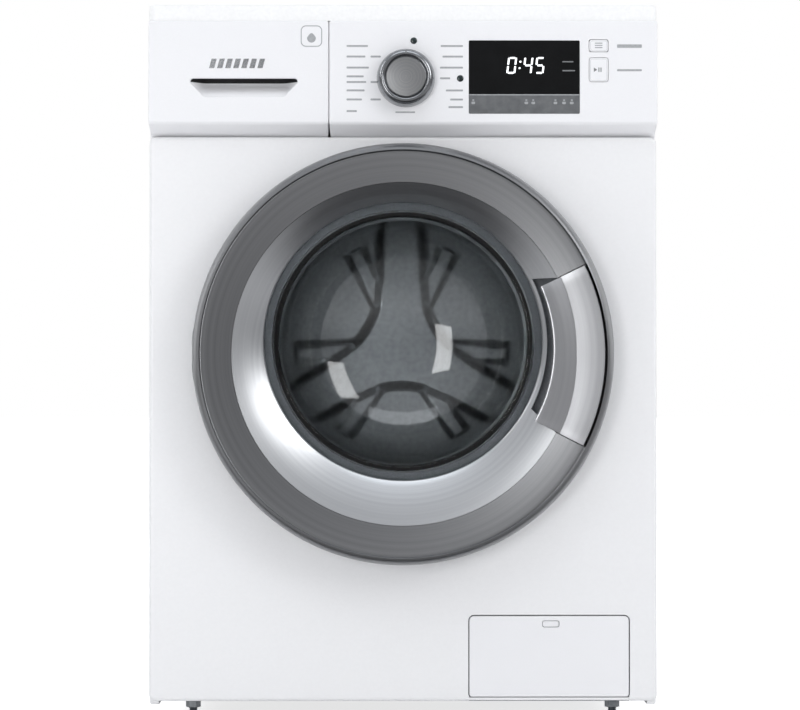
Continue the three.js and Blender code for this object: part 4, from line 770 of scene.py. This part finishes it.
def legends():
    """Plain bars where the printed words are, two indicator lenses and two generic marks."""
    bars = []
    rows = (801, 788.6, 775.7, 765.4, 758.8, 749, 738.4, 724.8)
    for index, z in enumerate(rows):
        length = (25, 22, 26, 20, 23, 21, 18, 12)[index]
        bars.append(rounded(-66, z - 1.1, -66 + length, z + 1.1, 0.8, 3))
        if index in (1, 4, 6):
            bars.append(rounded(-38, z - 1.1, -26, z + 1.1, 0.8, 3))
    for index, z in enumerate((801, 788.6, 775.7, 763.2, 749, 738.4, 729.5)):
        length = (26, 24, 27, 12, 20, 15, 17)[index]
        right = 70 if index != 3 else 55
        bars.append(rounded(right - length, z - 1.1, right, z + 1.1, 0.8, 3))
    bars += [rounded(250, 801 - 2, 279, 801 + 2, 0.8, 3), rounded(250, 771.6, 279, 774, 0.8, 3)]
    bars += [rounded(-9, 722.6, 14, 724.4, 0.6, 3)]
    marks("legend_bars", bars, on_front(FASCIA_Y), 0.05, ink, "root")
    for index, (x, z) in enumerate(((12.5, 807.2), (66.8, 763.1))):
        dome = [(3.9, FASCIA_Y + 0.3), (3.9, FASCIA_Y - 0.3), (3.2, FASCIA_Y - 0.8),
                (1.8, FASCIA_Y - 1.1), (0.4, FASCIA_Y - 1.2)]
        piece(f"indicator_lens_{index + 1}", solid_y(dome, x, z, 32), lens, "root")
    outer = rounded(-119.5, 800, -94.5, 825, 6)
    badge = ring_marks(outer, inset(outer, 1.1))
    drop = [(-107 + 5.2 * math.cos(a) * (1 - 0.45 * (math.sin(a) > 0) * math.sin(a)),
             810.5 + 5.6 * math.sin(a)) for a in [math.radians(15 * k) for k in range(24)]]
    marks("badge_outline", badge + [drop], on_front(FASCIA_Y), 0.06, ink, "drawer")
    left = -226.5
    tiles = []
    for k in range(7):
        tilt = 3.0
        x = left + 9.4 * k
        tiles.append([(x, 775), (x + 6, 775), (x + 6 + tilt, 786), (x + tilt, 786)])
    marks("maker_mark_tiles", tiles, on_front(FASCIA_Y), 0.3, nickel, "drawer")


# ---------------------------------------------------------------- door


def polar(radius, turn, y, rise=0.0):
    """A point at that radius and angle in degrees about the door's centre."""
    a = math.radians(turn)
    return (radius * math.cos(a), y, DOOR_Z + rise + radius * math.sin(a))


def door_turns():
    """Angles round the door, with a fine step at each end of the handle."""
    turns = {round(360 * k / DOOR_STEPS, 4) for k in range(DOOR_STEPS)}
    for edge in (HANDLE_TOP + 0.3, HANDLE_BOTTOM - 0.3 + 360):
        turns |= {edge - 0.02, edge + 0.02}
    return sorted(turns)


def in_handle(turn):
    """True inside the sector that the handle fills."""
    signed = turn if turn <= 180 else turn - 360
    return HANDLE_BOTTOM - 0.3 < signed < HANDLE_TOP + 0.3


def outer_ring():
    """The gunmetal ring, with its seat for the handle."""
    rim = []
    for k in range(13):
        a = math.radians(-90 + 180 * k / 12)
        rim.append((236 + 9 * math.cos(a), -279.5 - 20.5 * math.sin(a)))
    open_band = [(BAND_OUTER + 0.2, -299.2), (BAND_OUTER - 0.6, -298.0)]
    for k in range(7):
        share = k / 6
        r = BAND_OUTER - 1.5 - (BAND_OUTER - 1.5 - BAND_INNER) * share
        open_band.append((r, -298.1 + 6.1 * share ** 1.15))
    seat_band = [(BAND_OUTER + 0.6, -298.6), (BAND_OUTER + 0.5, SEAT_FLOOR - 0.4)]
    seat_band += [(BAND_OUTER - 1.5 - (BAND_OUTER - 1.5 - BAND_INNER) * k / 6, SEAT_FLOOR)
                  for k in range(7)]
    rings = []
    for turn in door_turns():
        seated = in_handle(turn)
        section = rim + (seat_band if seated else open_band)
        inside = ([(BAND_INNER, SEAT_BACK), (BAND_OUTER + 2.2, SEAT_BACK)] if seated else
                  [(BAND_INNER, BAND_INNER_Y + 2.5), (BAND_OUTER - 2, -295.5)])
        inside += [(238.5, -291), (241.5, -280), (241, -270), (235, -262)]
        if NOTCH_TURNS[0] < abs(turn - 180) < NOTCH_TURNS[1]:
            # Here the ring is cut away behind, so that the hinge's arms pass it as it opens.
            section = [(r, min(y, NOTCH_FRONT)) for r, y in section]
            inside = [(r, min(y, NOTCH_BACK)) for r, y in inside]
        section = section + inside
        rings.append([polar(r, turn, y) for r, y in section])
    piece("door_ring_shell", skin(rings, close=True), gunmetal, "door", ["door_outer_ring"],
          sharp=24)


def funnel():
    """The silver funnel, which leans from the ring's centre up to the glass."""
    rings = []
    for turn in door_turns():
        outer = POCKET_RADIUS + 1.5 if in_handle(turn) else BAND_INNER - 0.4
        section = []
        for k in range(9):
            share = k / 8
            r = outer + (FUNNEL_INNER - outer) * share
            whole = (BAND_INNER - 0.4 - r) / (BAND_INNER - 0.4 - FUNNEL_INNER)
            bow = 1.2 * math.sin(math.pi * whole)
            y = BAND_INNER_Y + (FUNNEL_INNER_Y - BAND_INNER_Y) * whole - bow
            section.append((r, y, FUNNEL_RISE * whole))
        section += [(162.4, -271.4, FUNNEL_RISE), (162.0, -270.3, FUNNEL_RISE),
                    (162.8, -269.6, FUNNEL_RISE), (165, -269.6, FUNNEL_RISE)]
        for k in range(8, -1, -1):
            r, y, rise = section[k]
            section.append((r + 0.8, min(y + 2.5, -269.7), rise))
        rings.append([polar(r, turn, y, rise) for r, y, rise in section])
    piece("door_funnel_shell", skin(rings, close=True), funnel_silver, "door",
          ["door_inner_ring"], sharp=50)


def handle():
    """The curved pull plate: flush with the ring outside its crease, dished inside it."""
    rings = []
    count = 48
    for k in range(count + 1):
        turn = HANDLE_BOTTOM + (HANDLE_TOP - HANDLE_BOTTOM) * k / count
        end = min(k, count - k)
        tuck = 0.9 if end == 0 else 0.25 if end == 1 else 0.0
        a = math.radians(turn)
        inner = HANDLE_RISE * math.sin(a) + math.sqrt(
            HANDLE_INNER ** 2 - (HANDLE_RISE * math.cos(a)) ** 2)
        outer = HANDLE_OUTER
        crease = HANDLE_CREASE - 3.0 * (1 - abs(turn) / 30)
        section = [
            (outer, -290.2), (outer, -296.6 + tuck), (outer - 0.9, -298.0 + tuck),
            (outer - 10, -297.3 + tuck), (crease + 8, -295.2 + tuck), (crease + 0.7, -293.9 + tuck),
            (crease - 0.7, -293.9 + tuck), (crease - 8, -295.6 + tuck), (inner + 10, -297.2 + tuck),
            (inner + 3, -298.2 + tuck), (inner + 0.8, -297.4 + tuck), (inner, -295.4 + tuck),
            (inner, -290.8), (inner + 2, -290.1),
        ]
        rings.append([polar(r, turn, y) for r, y in section])
    piece("handle_plate", skin(rings), handle_satin, "handle", ["door_handle"], sharp=40)


def door_inside():
    """The glass bowl and the screws in the back of the door."""
    bowl_outer = [(167.5, -269), (168, -268.4), (168, -264.6), (167.4, -264), (151.5, -264),
                  (150.4, -262)]
    bowl_inner = []
    for k in range(19):
        a = math.radians(90 * k / 18)
        bowl_outer.append((max(149.8 * math.cos(a) ** 0.75, 0.4), -258 + 110 * math.sin(a) ** 1.1))
        bowl_inner.append((max(144.8 * math.cos(a) ** 0.75, 0.4), -258 + 105 * math.sin(a) ** 1.1))
    bowl_inner = bowl_inner[::-1] + [(145.2, -266), (147.5, -269)]
    piece("glass_bowl", turned_y(bowl_outer + bowl_inner, 0, AXIS_Z, 128), glass, "door",
          ["door_glass"], sharp=60)
    spots = [(205 * math.cos(math.radians(a)), DOOR_Z + 205 * math.sin(math.radians(a)))
             for a in (20, 65, 115, 152, 208, 245, 295, 340)]
    screws("door_frame_screws", spots, DOOR_BACK)


def seal():
    """The folded rubber bellows between the front and the tub."""
    lip = FRONT_Y - 2.2
    profile = [(156, lip + 1.4), (157, lip + 0.4), (159, lip), (174, lip), (176.6, lip + 0.5),
               (177, lip + 1.5), (175, FRONT_Y - 0.3), (171.7, FRONT_Y - 0.2), (171.7, -253.4),
               (176.4, -253.2), (177, -251.5), (176, -249.8), (168, -247.6), (169, -243),
               (175, -237), (176.6, -232), (174, -226), (168, -220), (167.2, -215.3), (163, -215.3),
               (163.6, -221), (169, -227), (172, -232), (170, -236), (163, -241), (160.4, -246),
               (158, -249.4), (156.2, -252)]
    piece("door_seal_bellows", turned_y(profile, 0, AXIS_Z, 128), seal_rubber, "root",
          ["door_gasket"], sharp=70)


# ---------------------------------------------------------------- drum


def relief_at(x, z):
    """Height of the pressed drum back above its plain, in mm, at a point from its centre."""
    radius = math.hypot(x, z)
    near = []
    for angle in ARM_ANGLES:
        a = math.radians(angle)
        along = x * math.cos(a) + z * math.sin(a)
        across = abs(x * math.sin(a) - z * math.cos(a))
        near.append(across if along > 0 else math.hypot(across, along))
    blend = 16.0
    spread = -blend * math.log(sum(math.exp(-d / blend) for d in near))
    arm = min(max((36.0 - spread) / 12.0, 0), 1)
    arm = arm * arm * (3 - 2 * arm)
    pads = 0.0
    for angle in ARM_ANGLES:
        for side in (-1, 1):
            a = math.radians(angle + 26 * side)
            along = x * math.cos(a) + z * math.sin(a)
            across = x * math.sin(a) - z * math.cos(a)
            box = max(abs(along - 108) - 46, abs(across) - 15)
            pad = min(max(-box / 6.0, 0), 1)
            pads = max(pads, pad * pad * (3 - 2 * pad))
    fade = min(max((232 - radius) / 10, 0), 1)
    return (9.0 * arm + 5.0 * pads * (1 - arm)) * fade


def drum():
    """The drum shell with its punched holes, the pressed back and the lifters."""
    shell = [(MOUTH_RADIUS, -168.5), (MOUTH_RADIUS - 0.1, -177), (161.5, -179.6), (164.5, -180),
             (200, -177), (226, -171.5), (233, -169), (236, -166.6), (237, -163), (237, -100),
             (236.2, -97), (237, -94), (237, 20), (236.2, 23), (237, 26), (237, 100), (236, 104),
             (234.6, 104), (235.4, 99), (235.4, 26), (234.6, 23), (235.4, 20), (235.4, -94),
             (234.6, -97), (235.4, -100), (235.4, -162), (233.6, -165.6), (226, -169.6),
             (200, -175.3), (164.5, -178.3), (162, -177.6), (161.6, -168.5)]
    piece("drum_wrapped_shell", turned_y(shell, 0, AXIS_Z, 144), stainless, "drum",
          ["drum_shell"], sharp=40)
    drum_holes()
    pressed_back()
    for index, angle in enumerate(LIFTER_ANGLES):
        lifter(index + 1, angle)


def drum_holes():
    """Dimpled holes in the drum wall, in staggered rows between the lifters."""
    bm = bmesh.new()
    rows = 17
    columns = 96
    for row in range(rows):
        y = -148 + 14.6 * row
        for column in range(columns):
            turn = 360 * (column + 0.5 * (row % 2)) / columns
            clear = min(abs((turn - a + 180) % 360 - 180) for a in LIFTER_ANGLES)
            if clear < 11 or abs(y + 97) < 6 or abs(y - 23) < 6:
                continue
            a = math.radians(turn)
            out = Vector((math.cos(a), 0, math.sin(a)))
            side = Vector((-math.sin(a), 0, math.cos(a)))
            rings = []
            for radius, depth in ((3.1, 0.1), (2.6, -0.5), (1.9, -0.3), (1.7, 0.05)):
                ring = []
                for k in range(8):
                    b = 2 * math.pi * k / 8
                    centre = out * (DRUM_INSIDE + depth) + Vector((0, y, AXIS_Z))
                    point = centre + side * radius * math.cos(b)
                    ring.append(bm.verts.new((point + Vector((0, radius * math.sin(b), 0))) * MM))
                rings.append(ring)
            for first, second in zip(rings, rings[1:]):
                bridge(bm, first, second)
            # Painted shade: the closed bottom of each dimple is painted near black, standing in for
            # the shaded open hole.
            well = bm.faces.new(rings[-1])
            well.material_index = 1
            bm.faces.new(rings[0])
    made = piece("drum_punched_holes", bm, stainless, "drum", sharp=80)
    made.data.materials.append(painted_gap_shade)


def pressed_back():
    """The drum's back wall, pressed with a three armed relief and side pads."""
    steps = 200
    rings = []
    for k in range(78):
        radius = 0.5 + 234.5 * k / 77
        ring = []
        for u, v in circle(0, 0, radius, steps):
            ring.append((u, DRUM_BACK + 9.2 - relief_at(u, v), AXIS_Z + v))
        rings.append(ring)
    rings.append([(u, DRUM_BACK + 10.5, v) for u, v in circle(0, AXIS_Z, 235, steps)])
    rings.append([(u, DRUM_BACK + 10.5, v) for u, v in circle(0, AXIS_Z, 0.5, steps)])
    piece("drum_pressed_back", skin(rings), stainless, "drum", ["drum_back"], sharp=60)


def lifter(index, angle):
    """A crowned lifter along the drum wall, with rounded ends."""
    a = math.radians(angle)
    out = Vector((math.cos(a), 0, math.sin(a)))
    side = Vector((-math.sin(a), 0, math.cos(a)))
    rings = []
    count = 24
    for k in range(count + 1):
        share = k / count
        y = -154 + 225 * share
        end = min(share, 1 - share) / 0.16
        end = math.sqrt(max(1 - (1 - min(end, 1)) ** 2, 0.0))
        high = 47.0 * (0.12 + 0.88 * end)
        ring = []
        for step in range(21):
            t = -1 + 2 * step / 20
            across = 31.5 * t * (0.7 + 0.3 * end)
            rise = high * (1 - abs(t) ** 2.6) ** 0.8 if abs(t) < 1 else 0.0
            wall = math.sqrt(234.9 ** 2 - across ** 2)
            point = out * (wall - rise) + side * across + Vector((0, y, AXIS_Z))
            ring.append(tuple(point))
        rings.append(ring)
    piece(f"lifter_{index}_paddle", skin(rings), grey_pp, "drum", [f"drum_lifter_{index}"],
          sharp=50)


# ---------------------------------------------------------------- lower front


def filter_door():
    """The filter flap with its finger tab."""
    x0, z0, x1, z1 = FLAP
    outline = rounded(x0, z0, x1, z1, 5.5)
    notch = rounded(163, 121.5, 183, 129.5, 2.5)
    bm = pressed_mesh([(outline, 1.4, 5.0), (notch, 0.5, 2.0)], on_front(FRONT_Y), 2.0)
    piece("filter_flap_moulding", bm, abs_white, "flap", ["filter_flap"])
    bm = pressed_mesh([(inset(notch, 0.5), 0.6, 3.0)], on_front(FRONT_Y + 1.4), 3.0)
    piece("filter_flap_tab", bm, abs_white, "flap")


# ---------------------------------------------------------------- studio


def area_light(name, place, aim, size, power, colour="#ffffff"):
    """A rectangular soft light."""
    data = bpy.data.lights.new(name, "AREA")
    data.shape = "RECTANGLE"
    data.size, data.size_y = size
    data.energy = power
    data.color = linear(colour)[:3]
    made = bpy.data.objects.new(name, data)
    made.location = place
    made.rotation_euler = (Vector(aim) - Vector(place)).to_track_quat("-Z", "Y").to_euler()
    bpy.context.scene.collection.objects.link(made)
    return made


FLOOR_GLOW = 0.05
FLOOR_GLOW_SEEN = 0.7


def studio():
    """A pale floor, soft lights and a white surround."""
    bm = bmesh.new()
    bmesh.ops.create_grid(bm, x_segments=8, y_segments=8, size=30)
    mesh = bpy.data.meshes.new("floor")
    bm.to_mesh(mesh)
    bm.free()
    floor = bpy.data.objects.new("floor", mesh)
    bpy.context.scene.collection.objects.link(floor)
    # Matt white studio paper: clean and even, so that only soft shadows show on it.
    paper = finish("studio_paper", "#fbfbfb", "#fefefe", (0.8, 0.9), 40, 0.01,
                   Emission_Color=linear("#ffffff"))
    lit = add(paper.node_tree, "MapRange", {
        "Value": add(paper.node_tree, "LightPath").outputs["Is Camera Ray"],
        "To Min": FLOOR_GLOW, "To Max": FLOOR_GLOW_SEEN}).outputs["Result"]
    glow = paper.node_tree.nodes["Principled BSDF"].inputs["Emission Strength"]
    paper.node_tree.links.new(lit, glow)
    mesh.materials.append(paper)
    floor.visible_glossy = False
    world = bpy.data.worlds.new("studio")
    bpy.context.scene.world = world
    world.use_nodes = True
    tree = world.node_tree
    tree.nodes.clear()
    direction = add(tree, "TexCoord").outputs["Generated"]
    height = add(tree, "SeparateXYZ", {"Vector": direction}).outputs["Z"]
    ramp = add(tree, "ValToRGB", {"Fac": add(tree, "MapRange", {
        "Value": height, "From Min": -1.0, "From Max": 1.0}).outputs["Result"]})
    stops = ramp.color_ramp.elements
    stops[0].position, stops[0].color = 0.0, linear("#4a4a4c")
    stops[1].position, stops[1].color = 1.0, linear("#e0e2e6")
    for at, tone in ((0.12, "#4c4c4e"), (0.34, "#cfcfd1"), (0.5, "#868688")):
        stops.new(at).color = linear(tone)
    soft = add(tree, "Background", {"Color": ramp.outputs["Color"], "Strength": 1.0})
    white = add(tree, "Background", {"Color": (1, 1, 1, 1), "Strength": 1.0})
    seen = add(tree, "LightPath").outputs["Is Camera Ray"]
    mix = add(tree, "MixShader", {0: seen, 1: soft.outputs[0], 2: white.outputs[0]})
    add(tree, "OutputWorld", {"Surface": mix.outputs[0]})
    target = (0, -0.25, 0.45)
    area_light("front_left_softbox", (-1.25, -3.5, 0.7), target, (0.8, 1.5), 21)
    area_light("right_softbox", (2.1, -2.0, 1.8), target, (1.1, 1.4), 21)
    area_light("overhead_softbox", (0, -1.6, 3.0), target, (2.4, 1.2), 15, "#eef3f8")
    area_light("left_strip", (-2.4, -0.9, 1.9), target, (0.4, 1.6), 10)
    area_light("left_fill", (-3.0, 0.8, 1.2), (0, 0, 0.45), (1.6, 2.0), 11)
    area_light("right_fill", (3.0, 0.8, 1.2), (0, 0, 0.45), (1.6, 2.0), 11)
    area_light("rear_fill", (0, 3.4, 1.4), (0, 0, 0.45), (2.4, 1.8), 30)


CAMERA_PLACE = (-0.0155, -3.0, 0.4)
CAMERA_TILT = 0.84
CAMERA_TURN = 0.25
SENSOR_WIDTH = 36.0
FOCAL_LENGTH = 105.435


def camera():
    """The camera, level with the lower panel and almost square to the front."""
    data = bpy.data.cameras.new("camera")
    data.sensor_width = SENSOR_WIDTH
    data.lens = FOCAL_LENGTH
    made = bpy.data.objects.new("camera", data)
    made.location = CAMERA_PLACE
    made.rotation_euler = (math.radians(90 + CAMERA_TILT), 0, math.radians(-CAMERA_TURN))
    bpy.context.scene.collection.objects.link(made)
    bpy.context.scene.camera = made
    bpy.context.scene.view_settings.view_transform = "Standard"
    bpy.context.scene.view_settings.look = "None"


camera()
studio()
dress_cad_nodes()
cabinet()
control_panel()
outer_ring()
funnel()
handle()
door_inside()
seal()
drum()
filter_door()

bpy.context.view_layer.update()
